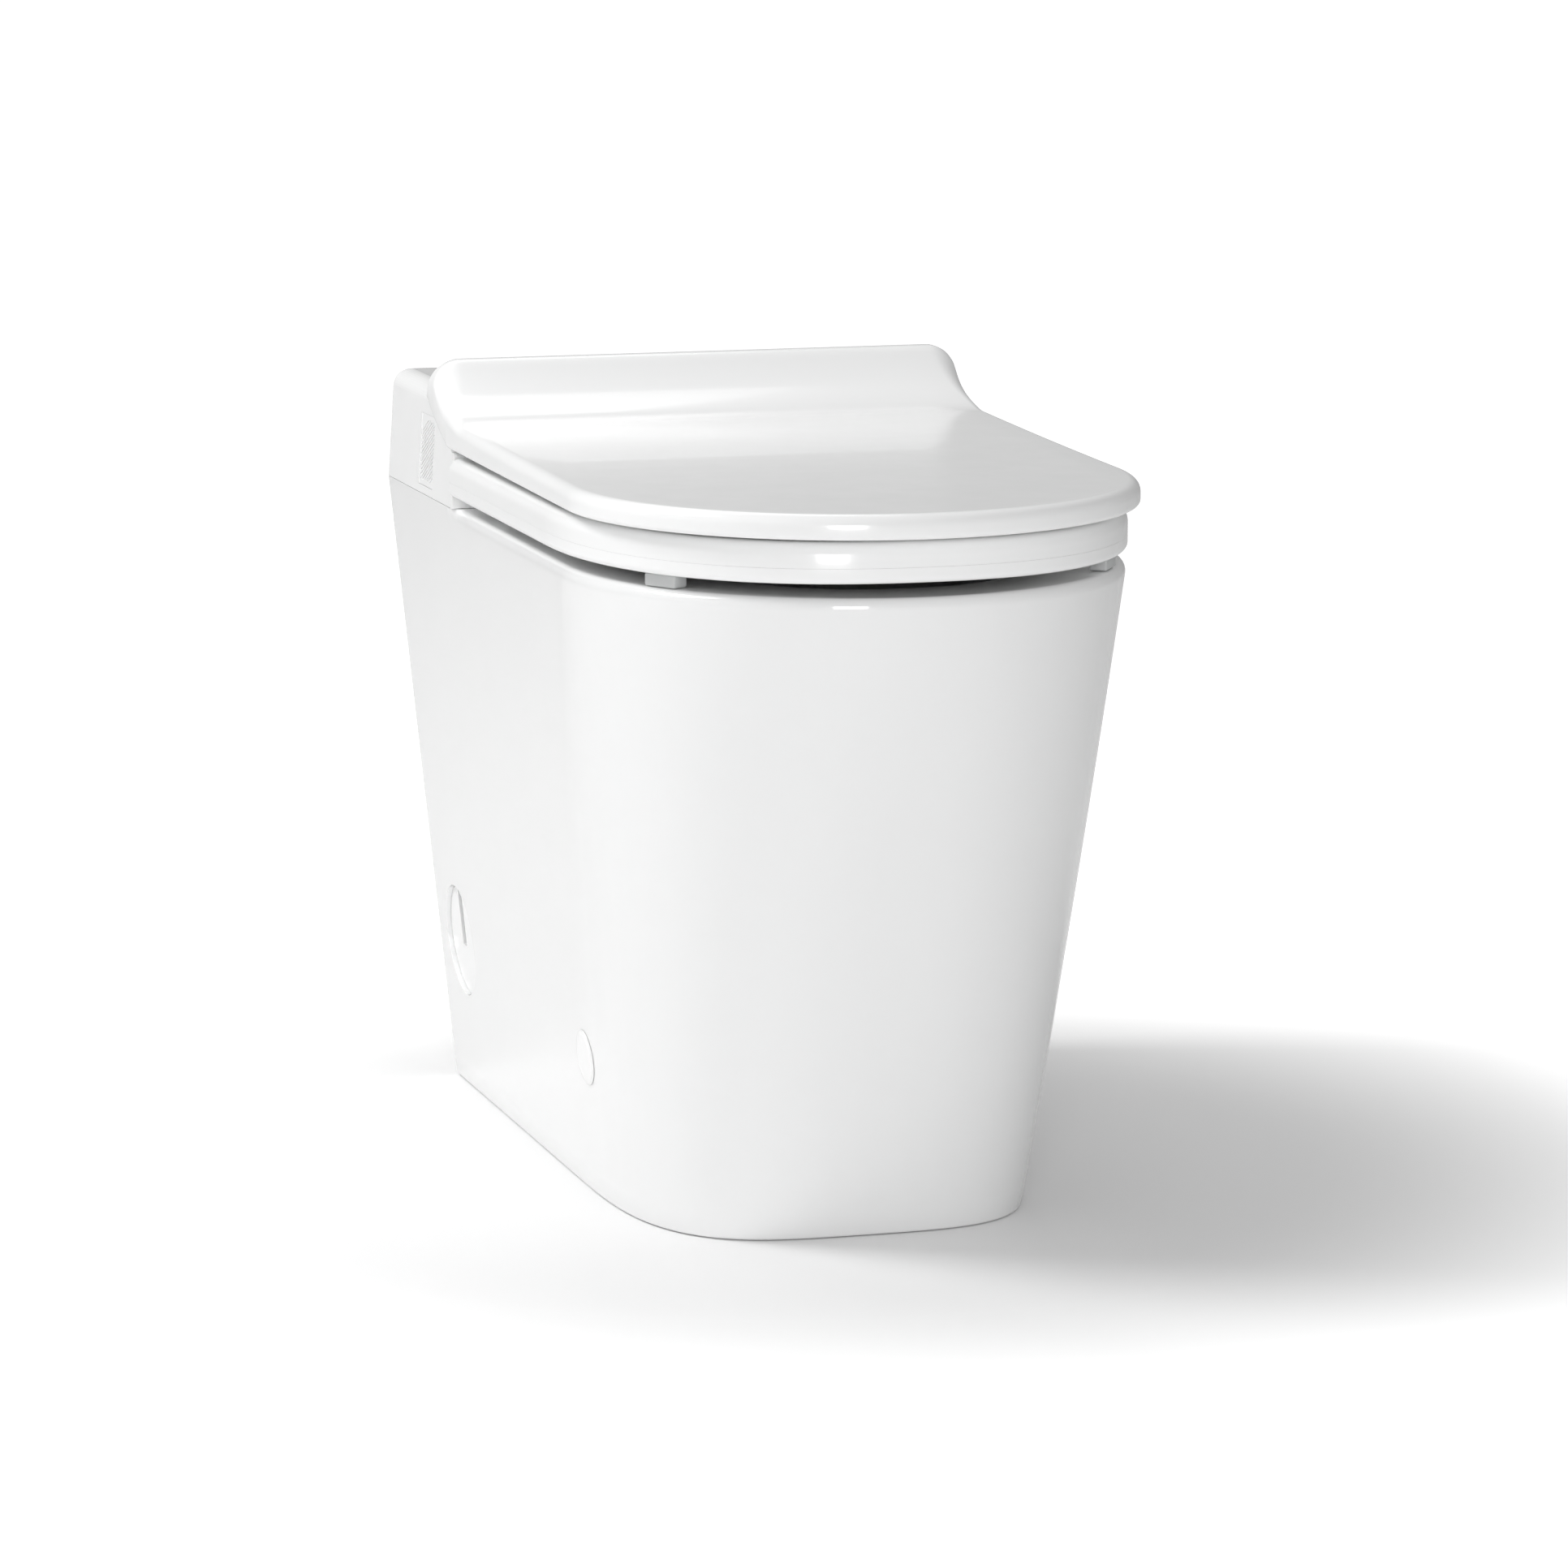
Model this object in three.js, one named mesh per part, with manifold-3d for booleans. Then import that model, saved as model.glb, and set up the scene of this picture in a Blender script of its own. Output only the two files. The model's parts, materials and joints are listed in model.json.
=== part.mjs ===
// A floor-standing toilet with a built-in electric bidet seat.
// Millimetres, +Z up. The wall is at +Y and the nose of the lid points to -Y. The origin is on the
// floor, under the middle of the overall box. "Left" is the -X side, "right" is the +X side.

import * as THREE from 'three';
import { mergeVertices } from 'three/addons/utils/BufferGeometryUtils.js';
import Module from 'manifold-3d';

const wasm = await Module();
wasm.setup();

// ---------------------------------------------------------------- driving dimensions

const LENGTH = 694; // wall to the nose of the lid
const BODY_WIDTH = 370; // ceramic rim and housing
const RIM_HEIGHT = 434; // floor to the ceramic rim
const CLEARANCE = 0.3; // between pieces that touch

const REAR = LENGTH / 2; // the wall face
const NOSE = -LENGTH / 2; // the nose of the lid
const HALF = BODY_WIDTH / 2;

// Ceramic
const RIM = { setback: 8, nose: 202, power: 2, round: 8 };
const FOOT = { narrower: 46, setback: 139, nose: 226, power: 3.6 };
const CERAMIC_WALL = 12;
const DECK = 14; // thickness of the ceramic under the seat and the housing
const BOWL = { side: 63, front: 52, depth: 270, floorHalf: 40, floorLength: 62, floorSetback: 165 };
const TRAP = { bore: 26, wall: 9, roughIn: 305 };

// Side access hole, and the cap over the side floor screw
const ACCESS = { radius: 39, fromWall: 63, height: 110, recess: 3, thickness: 4, slot: 10.5 };
const BOLT_CAP = { radius: 18.5, setback: 288, height: 96, proud: 2.6, stem: 9 };
const SIDE_SCREW = { shank: 4.7, head: 8, headLength: 3.5, reach: 20 };

// Housing
const HOUSING = { length: 191, height: 76, lean: 3.5, leanHeight: 55, shoulder: 13, wall: 2.6 };
const BASE_PLATE = { thickness: 3.7, margin: 4.3 };

// Seat
const SEAT = { wider: 2.5, setback: 12, nose: 233.4, power: 2.3, thickness: 26, gap: 9, split: 10 };
const SEAT_HOLE = { half: 108, setback: 92, rear: 93 };
const SEAT_SHELL_WALL = 3.5;
const BRIDGE = { half: 72, thickness: 7 }; // the thin bridge over the wand
const SEAT_ARM = { inner: 98, width: 20, barrel: 6, thickness: 9.5 };

// Lid
const LID = { wider: 2, nose: 184, thickness: 16, gap: 2.5, rise: 5.6, run: 450, wall: 3 };
const LID_EDGE = { top: 8, crest: 20, under: 3 };
const CREST = { radius: 8, forward: 8.1, above: 8.9, facing: 25 }; // top rear edge of the lid
const HINGE_SHAFT = { radius: 3.5, engage: 6.5 };
const EAR = { inner: 119, width: 16, radius: 7.5, foot: 6 };

// Spray wand
const WAND = { radius: 7, length: 146, slope: 12, travel: 110, above: 16.5 };
const WAND_GUIDE_HALF = 12;

// Places that the pieces share
const FACE = REAR - HOUSING.length; // front face of the housing
const SEAT_BOTTOM = RIM_HEIGHT + SEAT.gap;
const SEAT_TOP = SEAT_BOTTOM + SEAT.thickness;
const SEAT_SPLIT = SEAT_BOTTOM + SEAT.split;
const SEAT_REAR = FACE - 3;
const HINGE_AXIS = { y: FACE + 54, z: RIM_HEIGHT + 80 }; // the seat and the lid turn on one axis
const LID_UNDER = SEAT_TOP + LID.gap;
const BASE_TOP = RIM_HEIGHT + CLEARANCE + BASE_PLATE.thickness;
const FLOOR_OF_HOUSING = BASE_TOP + CLEARANCE; // where the inner units stand
const HOUSING_TOP = RIM_HEIGHT + HOUSING.height;
const SIDES = [['left', -1], ['right', 1]];

const product = new THREE.Group();

// ---------------------------------------------------------------- materials

function material(color, roughness, metalness = 0) {
  return new THREE.MeshStandardMaterial({ color, roughness, metalness });
}

const glazedCeramic = material(0xf7f7f5, 0.08);
const whitePlastic = material(0xf8f8f7, 0.18);
const innerPlastic = material(0xe9eaea, 0.35);
const greyPlastic = material(0x8d9194, 0.5);
const blackPlastic = material(0x26282a, 0.45);
const rubber = material(0xc9cccd, 0.8);
const steel = material(0xb9bcc0, 0.3, 1);
const brass = material(0xc9a35a, 0.3, 1);
const boardGreen = material(0x1f5d3a, 0.45);
const copper = material(0xc27a4e, 0.35, 1);
const carbon = material(0x303234, 0.9);
const smokedWindow = material(0x1b1c20, 0.1);
const hoseSilicone = material(0xdfe3e4, 0.4);

// ---------------------------------------------------------------- solids

// A closed geometry as a solid for joining and cutting.
function solid(geometry) {
  geometry.deleteAttribute('normal');
  geometry.deleteAttribute('uv');
  const merged = mergeVertices(geometry);
  return new wasm.Manifold(new wasm.Mesh({
    numProp: 3,
    vertProperties: new Float32Array(merged.attributes.position.array),
    triVerts: new Uint32Array(merged.index.array),
  }));
}

// Adds a finished solid to a group as a named mesh.
function piece(name, shape, look, parent = product) {
  const mesh = shape.getMesh();
  const geometry = new THREE.BufferGeometry();
  geometry.setAttribute('position', new THREE.BufferAttribute(mesh.vertProperties, 3));
  geometry.setIndex(new THREE.BufferAttribute(mesh.triVerts, 1));
  geometry.computeVertexNormals();
  const node = new THREE.Mesh(geometry, look);
  node.name = name;
  parent.add(node);
  return node;
}

function joined(shapes) {
  return shapes.reduce((whole, shape) => whole.add(shape));
}

const ordered = (range) => [Math.min(...range), Math.max(...range)];

// A block from three [low, high] ranges.
function block(xRange, yRange, zRange) {
  const [x, y, z] = [xRange, yRange, zRange].map(ordered);
  const geometry = new THREE.BoxGeometry(x[1] - x[0], y[1] - y[0], z[1] - z[0]);
  geometry.translate((x[0] + x[1]) / 2, (y[0] + y[1]) / 2, (z[0] + z[1]) / 2);
  return solid(geometry);
}

// A round bar along one axis. The centre gives the other two coordinates, in x, y, z order.
function rod(axis, radius, range, centre, sides = 20) {
  const [low, high] = ordered(range);
  const geometry = new THREE.CylinderGeometry(radius, radius, high - low, sides);
  const middle = (low + high) / 2;
  if (axis === 'x') geometry.rotateZ(-Math.PI / 2).translate(middle, centre[0], centre[1]);
  if (axis === 'y') geometry.translate(centre[0], middle, centre[1]);
  if (axis === 'z') geometry.rotateX(Math.PI / 2).translate(centre[0], centre[1], middle);
  return solid(geometry);
}

// A flat outline pulled along an axis: (y, z) points along x, (x, z) along y, (x, y) along z.
function prism(axis, outline, range) {
  const [low, high] = ordered(range);
  const shape = new THREE.Shape(outline.map(([a, b]) => new THREE.Vector2(a, b)));
  const geometry = new THREE.ExtrudeGeometry(shape, { depth: high - low, bevelEnabled: false });
  const [X, Y, Z] = [new THREE.Vector3(1, 0, 0), new THREE.Vector3(0, 1, 0), new THREE.Vector3(0, 0, 1)];
  const turn = new THREE.Matrix4();
  if (axis === 'x') turn.makeBasis(Y, Z, X).setPosition(low, 0, 0);
  if (axis === 'y') turn.makeBasis(X, Z, Y.clone().negate()).setPosition(0, high, 0);
  if (axis === 'z') turn.makeBasis(X, Y, Z).setPosition(0, 0, low);
  return solid(geometry.applyMatrix4(turn));
}

// A round tube or bar along a smooth path of [x, y, z] points.
function pipe(points, radius, steps, sides = 10) {
  const path = new THREE.CatmullRomCurve3(points.map((p) => new THREE.Vector3(...p)));
  const section = new THREE.Shape();
  section.absarc(0, 0, radius, 0, Math.PI * 2);
  return solid(new THREE.ExtrudeGeometry(section, { steps, extrudePath: path, curveSegments: sides / 2 }));
}

// Points of a circle arc in degrees, as [a, b] pairs.
function arc(centre, radius, from, to, count) {
  return Array.from({ length: count + 1 }, (_, i) => {
    const angle = THREE.MathUtils.degToRad(from + ((to - from) * i) / count);
    return [centre[0] + radius * Math.cos(angle), centre[1] + radius * Math.sin(angle)];
  });
}

// ---------------------------------------------------------------- plan outlines

const NOSE_STEPS = 12;

// Right half of a plan outline, from the rear corner to the nose: a straight side, then a
// superellipse. Each station holds its place and its inward direction.
function halfOutline({ half, rear, front, nose, power, sideStations = [] }) {
  const centre = front + nose;
  const stations = [rear, ...sideStations, centre].map((y) => ({ x: half, y, inX: -1, inY: 0 }));
  for (let i = 1; i <= NOSE_STEPS; i += 1) {
    const angle = (i / NOSE_STEPS) * (Math.PI / 2);
    const across = i === NOSE_STEPS ? 0 : Math.cos(angle) ** (2 / power);
    const along = Math.sin(angle) ** (2 / power);
    const slope = new THREE.Vector2(across ** (power - 1) / half, along ** (power - 1) / nose).normalize();
    stations.push({ x: half * across, y: centre - nose * along, inX: -slope.x, inY: slope.y });
  }
  return stations;
}

// One level of a symmetric solid: the half outline set in by a distance, at a height. Both may
// change along the length.
function ring(outline, inset, height) {
  return outline.map((s) => {
    const d = typeof inset === 'function' ? inset(s.y) : inset;
    const y = s.y + s.inY * d;
    const z = typeof height === 'function' ? height(s.y) : height;
    return [Math.max(s.x + s.inX * d, 0), y, z];
  });
}

// A solid through rings, from the lowest to the highest. Every ring has its mirror image added, and
// the first and last are closed by rungs from side to side.
function stacked(rings) {
  const last = rings[0].length - 1; // the nose point
  const loop = 2 * last + 1;
  const positions = [];
  for (const half of rings) {
    half.forEach(([x, y, z], i) => positions.push(i === last ? 0 : x, y, z));
    for (let i = last - 1; i >= 0; i -= 1) positions.push(-half[i][0], half[i][1], half[i][2]);
  }
  const index = [];
  const quad = (a, b, c, d) => index.push(a, b, c, a, c, d);
  for (let k = 0; k + 1 < rings.length; k += 1) {
    for (let j = 0; j < loop; j += 1) {
      const [low, high, next] = [k * loop, (k + 1) * loop, (j + 1) % loop];
      quad(low + j, high + j, high + next, low + next);
    }
  }
  const top = (rings.length - 1) * loop;
  for (let i = 0; i + 1 < last; i += 1) {
    const [left, nextLeft] = [2 * last - i, 2 * last - i - 1];
    quad(i, i + 1, nextLeft, left);
    quad(top + i, top + left, top + nextLeft, top + i + 1);
  }
  index.push(last - 1, last, last + 1, top + last - 1, top + last + 1, top + last);
  const geometry = new THREE.BufferGeometry();
  geometry.setAttribute('position', new THREE.Float32BufferAttribute(positions, 3));
  geometry.setIndex(index);
  return solid(geometry);
}

// Rings of an oval shaft or hollow, through levels of { z, half, front, rear }.
function ovalStack(levels, power, count = 32) {
  return stacked(levels.map(({ z, half, front, rear }) => {
    const centre = (front + rear) / 2;
    const reach = (rear - front) / 2;
    return Array.from({ length: count / 2 + 1 }, (_, i) => {
      const angle = (i / (count / 2)) * Math.PI;
      const across = i === count / 2 ? 0 : Math.max(Math.sin(angle), 0.02) ** (2 / power);
      const along = Math.sign(Math.cos(angle)) * Math.abs(Math.cos(angle)) ** (2 / power);
      return [half * across, centre + reach * along, z];
    });
  }));
}

// ---------------------------------------------------------------- ceramic pedestal

// Plan outline of the ceramic at a height: it widens and reaches forward from the foot to the rim.
function skirtOutline(z) {
  const t = THREE.MathUtils.clamp(z / RIM_HEIGHT, 0, 1);
  const mix = (foot, rim) => foot + (rim - foot) * t;
  return {
    half: mix(HALF - FOOT.narrower, HALF),
    rear: REAR,
    front: NOSE + mix(FOOT.setback, RIM.setback),
    nose: mix(FOOT.nose, RIM.nose),
    power: mix(FOOT.power, RIM.power),
    sideStations: [FACE],
  };
}

// Half width of the ceramic's outer face at a place on its side.
function skirtHalfWidth(y, z) {
  const { half, front, nose, power } = skirtOutline(z);
  const along = Math.max((front + nose - y) / nose, 0);
  return half * (1 - along ** power) ** (1 / power);
}

// The ceramic's outer form, set in by a distance, between two heights. The rear wall face is set in
// with it.
function skirt(inset, bottom, top, roundedRim = false) {
  const levels = 5;
  const roundBase = roundedRim ? top - RIM.round : top;
  const rings = [];
  for (let i = 0; i <= levels; i += 1) {
    const z = bottom + ((roundBase - bottom) * i) / levels;
    rings.push(ring(halfOutline({ ...skirtOutline(z), rear: REAR - inset }), inset, z));
  }
  if (roundedRim) {
    for (const angle of [35, 65, 90].map(THREE.MathUtils.degToRad)) {
      const z = roundBase + RIM.round * Math.sin(angle);
      const setIn = RIM.round * (1 - Math.cos(angle));
      rings.push(ring(halfOutline(skirtOutline(z)), (y) => (y < FACE - 1 ? setIn : 0), z));
    }
  }
  return stacked(rings);
}

// Levels of the bowl, grown by a wall, from the sump to above the rim.
function bowlLevels(grow) {
  const rim = { half: HALF - BOWL.side, front: NOSE + RIM.setback + BOWL.front, rear: FACE - 38 };
  const sumpFront = NOSE + RIM.setback + BOWL.floorSetback + 50;
  const sump = { half: BOWL.floorHalf, front: sumpFront, rear: sumpFront + 2 * BOWL.floorLength };
  const steps = 6;
  const levels = [];
  for (let i = 0; i <= steps; i += 1) {
    const depth = BOWL.depth * Math.cos((i / steps) * (Math.PI / 2));
    const spread = Math.sqrt(1 - (depth / BOWL.depth) ** 2);
    const mix = (low, high) => low + (high - low) * spread;
    levels.push({
      z: RIM_HEIGHT - depth - (i === 0 ? grow : 0),
      half: mix(sump.half, rim.half) + grow,
      front: mix(sump.front, rim.front) - grow,
      rear: mix(sump.rear, rim.rear) + grow,
    });
  }
  return levels;
}

const OUTLET_Y = REAR - TRAP.roughIn;
const OUTLET_TOP = 44; // the outlet is straight and upright below this height
const SUMP_TOP = RIM_HEIGHT - BOWL.depth * 0.48; // height where the bowl is joined to its sump
const CLEAR_OF_BOWL = 60; // a cut through the side wall starts this far from the middle

// Centre line of the water way: from the sump up over the weir and down to the floor outlet.
function trapPath() {
  const sump = RIM_HEIGHT - BOWL.depth;
  const sumpRear = NOSE + RIM.setback + BOWL.floorSetback + 50 + 2 * BOWL.floorLength;
  return [
    [0, sumpRear - 42, sump + 30],
    [0, sumpRear + 12, sump + 22],
    [0, sumpRear + 58, sump + 52],
    [0, sumpRear + 105, sump + 98],
    [0, OUTLET_Y + 108, sump + 88],
    [0, OUTLET_Y + 112, sump + 20],
    [0, OUTLET_Y + 66, sump - 44],
    [0, OUTLET_Y + 14, sump - 86],
    [0, OUTLET_Y, sump - 126],
    [0, OUTLET_Y, -20],
  ];
}

const ACCESS_PLACE = [REAR - ACCESS.fromWall, ACCESS.height];
const BOLT_PLACE = [NOSE + BOLT_CAP.setback, BOLT_CAP.height];
const BOLT_FACE = skirtHalfWidth(...BOLT_PLACE); // half width at the cap
const COUNTERBORE = SIDE_SCREW.headLength + 2 * CLEARANCE + 2.4;
const MOUNT_BOLT = { x: 75, y: FACE + 41, shank: 5, head: 9 };
const SERVICE = { x: [-112, -40], y: [REAR - 47, REAR - 9] }; // way for water and power

// The skirt with its deck, the bowl in two halves, and the trapway with its outlet are cast apart and
// joined with slip before firing.
function ceramicPedestal() {
  const deckUnder = RIM_HEIGHT - DECK;
  const bowlInside = bowlLevels(0);
  bowlInside.push({ ...bowlInside.at(-1), z: RIM_HEIGHT + 6 });
  const openRear = block([-95, 95], [REAR - 3 * CERAMIC_WALL, REAR + 10], [-10, 330]);
  const bowlForm = ovalStack(bowlLevels(CERAMIC_WALL), 2.3);
  const waterWay = joined([ovalStack(bowlInside, 2.3), pipe(trapPath(), TRAP.bore, 22, 10)]);
  let shape = skirt(0, 0, RIM_HEIGHT, true)
    .subtract(skirt(CERAMIC_WALL, -6, deckUnder))
    .subtract(openRear)
    .subtract(bowlForm)
    .subtract(block(SERVICE.x, SERVICE.y, [deckUnder - 5, RIM_HEIGHT + 5]));
  for (const [, side] of SIDES) {
    const [outside, boreFloor] = [side * (HALF + 20), side * (BOLT_FACE - COUNTERBORE)];
    shape = shape
      .subtract(rod('x', ACCESS.radius + CLEARANCE, [side * CLEAR_OF_BOWL, outside], ACCESS_PLACE, 30))
      .subtract(rod('x', SIDE_SCREW.shank + CLEARANCE, [side * CLEAR_OF_BOWL, outside], BOLT_PLACE))
      .subtract(rod('x', BOLT_CAP.stem + CLEARANCE, [boreFloor, outside], BOLT_PLACE))
      .subtract(rod('z', MOUNT_BOLT.shank + 1.3, [380, RIM_HEIGHT + 5], [side * MOUNT_BOLT.x, MOUNT_BOLT.y]));
  }
  piece('ceramic_pedestal', shape, glazedCeramic);
  const around = [[-HALF, HALF], [NOSE, REAR]];
  const bowl = bowlForm.subtract(waterWay);
  piece('ceramic_bowl', bowl.intersect(block(...around, [SUMP_TOP, RIM_HEIGHT + 5])), glazedCeramic);
  piece('ceramic_sump', bowl.intersect(block(...around, [0, SUMP_TOP])), glazedCeramic);
  const trapway = pipe(trapPath(), TRAP.bore + TRAP.wall, 22, 10)
    .subtract(bowlForm)
    .subtract(waterWay)
    .subtract(block([-60, 60], [OUTLET_Y - 60, OUTLET_Y + 60], [-60, 8]));
  piece('ceramic_trapway', trapway.intersect(block(...around, [OUTLET_TOP, RIM_HEIGHT])), glazedCeramic);
  piece('ceramic_outlet', trapway.intersect(block(...around, [0, OUTLET_TOP])), glazedCeramic);
}

// A round cover that follows the leaning side wall, set back in its hole, with a slot for a hose.
function accessCover(name, side) {
  const [y, z] = ACCESS_PLACE;
  const outer = skirt(ACCESS.recess, 20, 200);
  const inner = skirt(ACCESS.recess + ACCESS.thickness, 10, 210);
  const slot = block([side * CLEAR_OF_BOWL, side * HALF], [y - ACCESS.slot / 2, y + ACCESS.slot / 2], [z - 4, z + 60]);
  const disc = rod('x', ACCESS.radius, [side * CLEAR_OF_BOWL, side * HALF], ACCESS_PLACE, 30);
  piece(`access_cover_${name}`, disc.intersect(outer).subtract(inner).subtract(slot), whitePlastic);
}

// The cap stands a little proud of the ceramic and plugs into the counterbore.
function boltCap(name, side) {
  const disc = rod('x', BOLT_CAP.radius, [side * CLEAR_OF_BOWL, side * HALF], BOLT_PLACE, 32)
    .intersect(skirt(-BOLT_CAP.proud, 20, 200))
    .subtract(skirt(-CLEARANCE, 10, 210));
  const stem = rod('x', BOLT_CAP.stem, [side * (BOLT_FACE - 2.4), side * (BOLT_FACE + 1)], BOLT_PLACE);
  piece(`bolt_cap_${name}`, disc.add(stem), whitePlastic);
}

// A side screw pulls the ceramic against a bracket that is fixed to the floor inside it.
function floorFixing(name, side) {
  const headFloor = BOLT_FACE - COUNTERBORE + CLEARANCE;
  const [y, z] = BOLT_PLACE;
  const inside = skirtHalfWidth(y - 16, 0) - CERAMIC_WALL - 2;
  const upright = block([side * (inside - 4), side * inside], [y - 16, y + 16], [0, z + 16])
    .subtract(rod('x', SIDE_SCREW.shank + CLEARANCE, [side * (inside - 10), side * HALF], BOLT_PLACE));
  const floorPlate = block([side * (inside - 36), side * inside], [y - 16, y + 16], [0, 4])
    .subtract(rod('z', 4, [-5, 10], [side * (inside - 22), y]));
  piece(`floor_bracket_${name}`, upright.add(floorPlate), steel);
  const screw = rod('x', SIDE_SCREW.shank, [side * (inside - SIDE_SCREW.reach), side * headFloor], BOLT_PLACE)
    .add(rod('x', SIDE_SCREW.head, [side * headFloor, side * (headFloor + SIDE_SCREW.headLength)], BOLT_PLACE));
  piece(`side_screw_${name}`, screw, steel);
}

function outletSeal() {
  const place = [0, OUTLET_Y];
  const outer = rod('z', TRAP.bore + TRAP.wall + 18, [CLEARANCE, 18], place, 28);
  const inner = rod('z', TRAP.bore + TRAP.wall + 2, [-5, 25], place, 28);
  piece('outlet_seal', outer.subtract(inner), rubber);
}

// The electric flush valve hangs under the deck, and its pipe feeds the rear of the bowl.
function flushWorks() {
  const top = RIM_HEIGHT - DECK - CLEARANCE;
  const y = REAR - 92;
  const body = block([-34, 34], [y - 26, y + 26], [top - 62, top])
    .add(rod('z', 15, [top - 96, top - 60], [0, y]))
    .add(rod('x', 17, [-58, -30], [y, top - 32]));
  piece('flush_valve', body, greyPlastic);
  const bowlRear = FACE - 38 + CERAMIC_WALL + 1;
  const from = [0, y - 27, top - 34];
  piece('flush_pipe', pipe([from, [0, (from[1] + bowlRear) / 2, top - 32], [0, bowlRear + 4, top - 22]], 11, 8, 12),
    greyPlastic);
}

// ---------------------------------------------------------------- lid heights

// The underside runs over the seat, then climbs over the hinge shoulder of the housing.
function lidUnder(y) {
  const climb = Math.max(y - (FACE + 10), 0);
  return LID_UNDER + 0.0065 * (y - NOSE) + 0.33 * climb + 0.0028 * climb ** 2 + (climb > 0 ? 1.5 : 0);
}

const SWEEP_START = HINGE_AXIS.y - 92;
const CREST_CENTRE = { y: HINGE_AXIS.y - CREST.forward, z: HINGE_AXIS.z + CREST.above };

// The top is almost flat, then a hollow arc climbs to the rounded crest over the hinge.
function lidTop(y) {
  const crown = (at) => LID_UNDER + LID.thickness + LID.rise * ((at - NOSE) / LID.run) ** 2;
  if (y <= SWEEP_START) return crown(y);
  const [dy, dz, r] = [CREST_CENTRE.y - SWEEP_START, CREST_CENTRE.z - crown(SWEEP_START), CREST.radius];
  const sweep = (dy ** 2 + dz ** 2 - r ** 2) / (2 * (dz + r)); // tangent to the flat and to the crest
  if (y < SWEEP_START + (dy * sweep) / (sweep + r)) {
    return crown(SWEEP_START) + sweep - Math.sqrt(sweep ** 2 - (y - SWEEP_START) ** 2);
  }
  return CREST_CENTRE.z + Math.sqrt(Math.max(r ** 2 - Math.min(y - CREST_CENTRE.y, 0) ** 2, 0));
}

// ---------------------------------------------------------------- housing

// Side view of the housing, set in by a distance. The front top follows the lid's underside.
function housingProfile(inset) {
  const lidGap = 3 + inset * 1.1;
  const foot = RIM_HEIGHT + CLEARANCE - (inset > 0 ? 10 : 0);
  const slope = [FACE + 3 + inset, FACE + 10, HINGE_AXIS.y - 28, HINGE_AXIS.y - 12, HINGE_AXIS.y + 4, HINGE_AXIS.y + 11]
    .map((y) => [y, lidUnder(y) - lidGap]);
  const shoulderEdge = [HINGE_AXIS.y + 16 + inset, HOUSING_TOP - 6.5 - inset];
  return [
    [FACE + inset, foot],
    [FACE + inset, lidUnder(FACE) - lidGap - 2],
    ...slope,
    shoulderEdge,
    [HINGE_AXIS.y + 19 + inset, HOUSING_TOP - inset],
    ...arc([REAR - 5, HOUSING_TOP - 5], 5 - Math.min(inset, 4), 90, 0, 3),
    [REAR - inset, foot],
  ];
}

// Half width of the housing's leaning side wall at a height.
function housingHalf(z) {
  return HALF - (HOUSING.lean * (z - RIM_HEIGHT)) / HOUSING.leanHeight;
}

// Front view of the housing: leaning sides and rounded shoulders.
function housingSection(inset) {
  const r = HOUSING.shoulder;
  const right = [[housingHalf(RIM_HEIGHT) - inset, RIM_HEIGHT - 20],
    [housingHalf(RIM_HEIGHT) - inset, RIM_HEIGHT],
    ...arc([housingHalf(HOUSING_TOP - r) - r, HOUSING_TOP - r], r - inset, 0, 90, 5)];
  return [...right, ...right.map(([x, z]) => [-x, z]).reverse()];
}

function housingForm(inset) {
  return prism('x', housingProfile(inset), [-HALF - 5, HALF + 5])
    .intersect(prism('y', housingSection(inset), [FACE - 10, REAR + 10]));
}

// A group on the housing's side wall: local X points out of the wall, the origin is on its face.
const LEAN_ANGLE = Math.atan(HOUSING.lean / HOUSING.leanHeight);
function wallFrame(side, y, z) {
  const frame = new THREE.Group();
  frame.position.set(side * housingHalf(z), y, z);
  frame.rotation.y = -side * LEAN_ANGLE + (side < 0 ? Math.PI : 0);
  product.add(frame);
  return frame;
}

// Vent on the left wall: a rectangle whose top front corner is cut by a curve under the lid's edge.
const VENT = { front: REAR - 131, rear: REAR - 90, low: RIM_HEIGHT + 6, high: RIM_HEIGHT + 55, bar: 3 };
const VENT_SLOT = { count: 18, height: 1.3, rise: 29 };
function ventOutline(grow) {
  const curve = [18, 12, 6, 0].map((back) => {
    const y = VENT.front + back;
    return [y - grow, Math.min(lidUnder(y) - 8, VENT.high) + grow];
  });
  return [[VENT.front - grow, VENT.low - grow], [VENT.rear + grow, VENT.low - grow],
    [VENT.rear + grow, VENT.high + grow], ...curve];
}

// Control panel on the right wall, with two buttons.
const PANEL = { y: REAR - 76, z: RIM_HEIGHT + 32, half: 34, tall: 13, thickness: 2.2 };
const BUTTON = { radius: 8, spacing: 17, travel: 1.5, proud: 0.9, length: 4.5 };
function panelOutline(grow) {
  const r = PANEL.tall + grow;
  const reach = PANEL.half - PANEL.tall;
  return [...arc([PANEL.y + reach, PANEL.z], r, -90, 90, 10), ...arc([PANEL.y - reach, PANEL.z], r, 90, 270, 10)];
}

// Dryer outlet, its flap, and the seat sensor's window, in the front face.
const DUCT = { x: [30, 58], z: [FLOOR_OF_HOUSING + 1.6, FLOOR_OF_HOUSING + 19.6], wall: 1.6 };
const FLAP = { x: [30.5, 57.5], barrel: 1.7, pin: 0.9, y: FACE - 2.2, z: RIM_HEIGHT + 25, drop: 18, plate: 1.6 };
const WINDOW = { x: [-64, -42], z: [RIM_HEIGHT + 10, RIM_HEIGHT + 21], thickness: 2.6 };

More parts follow.
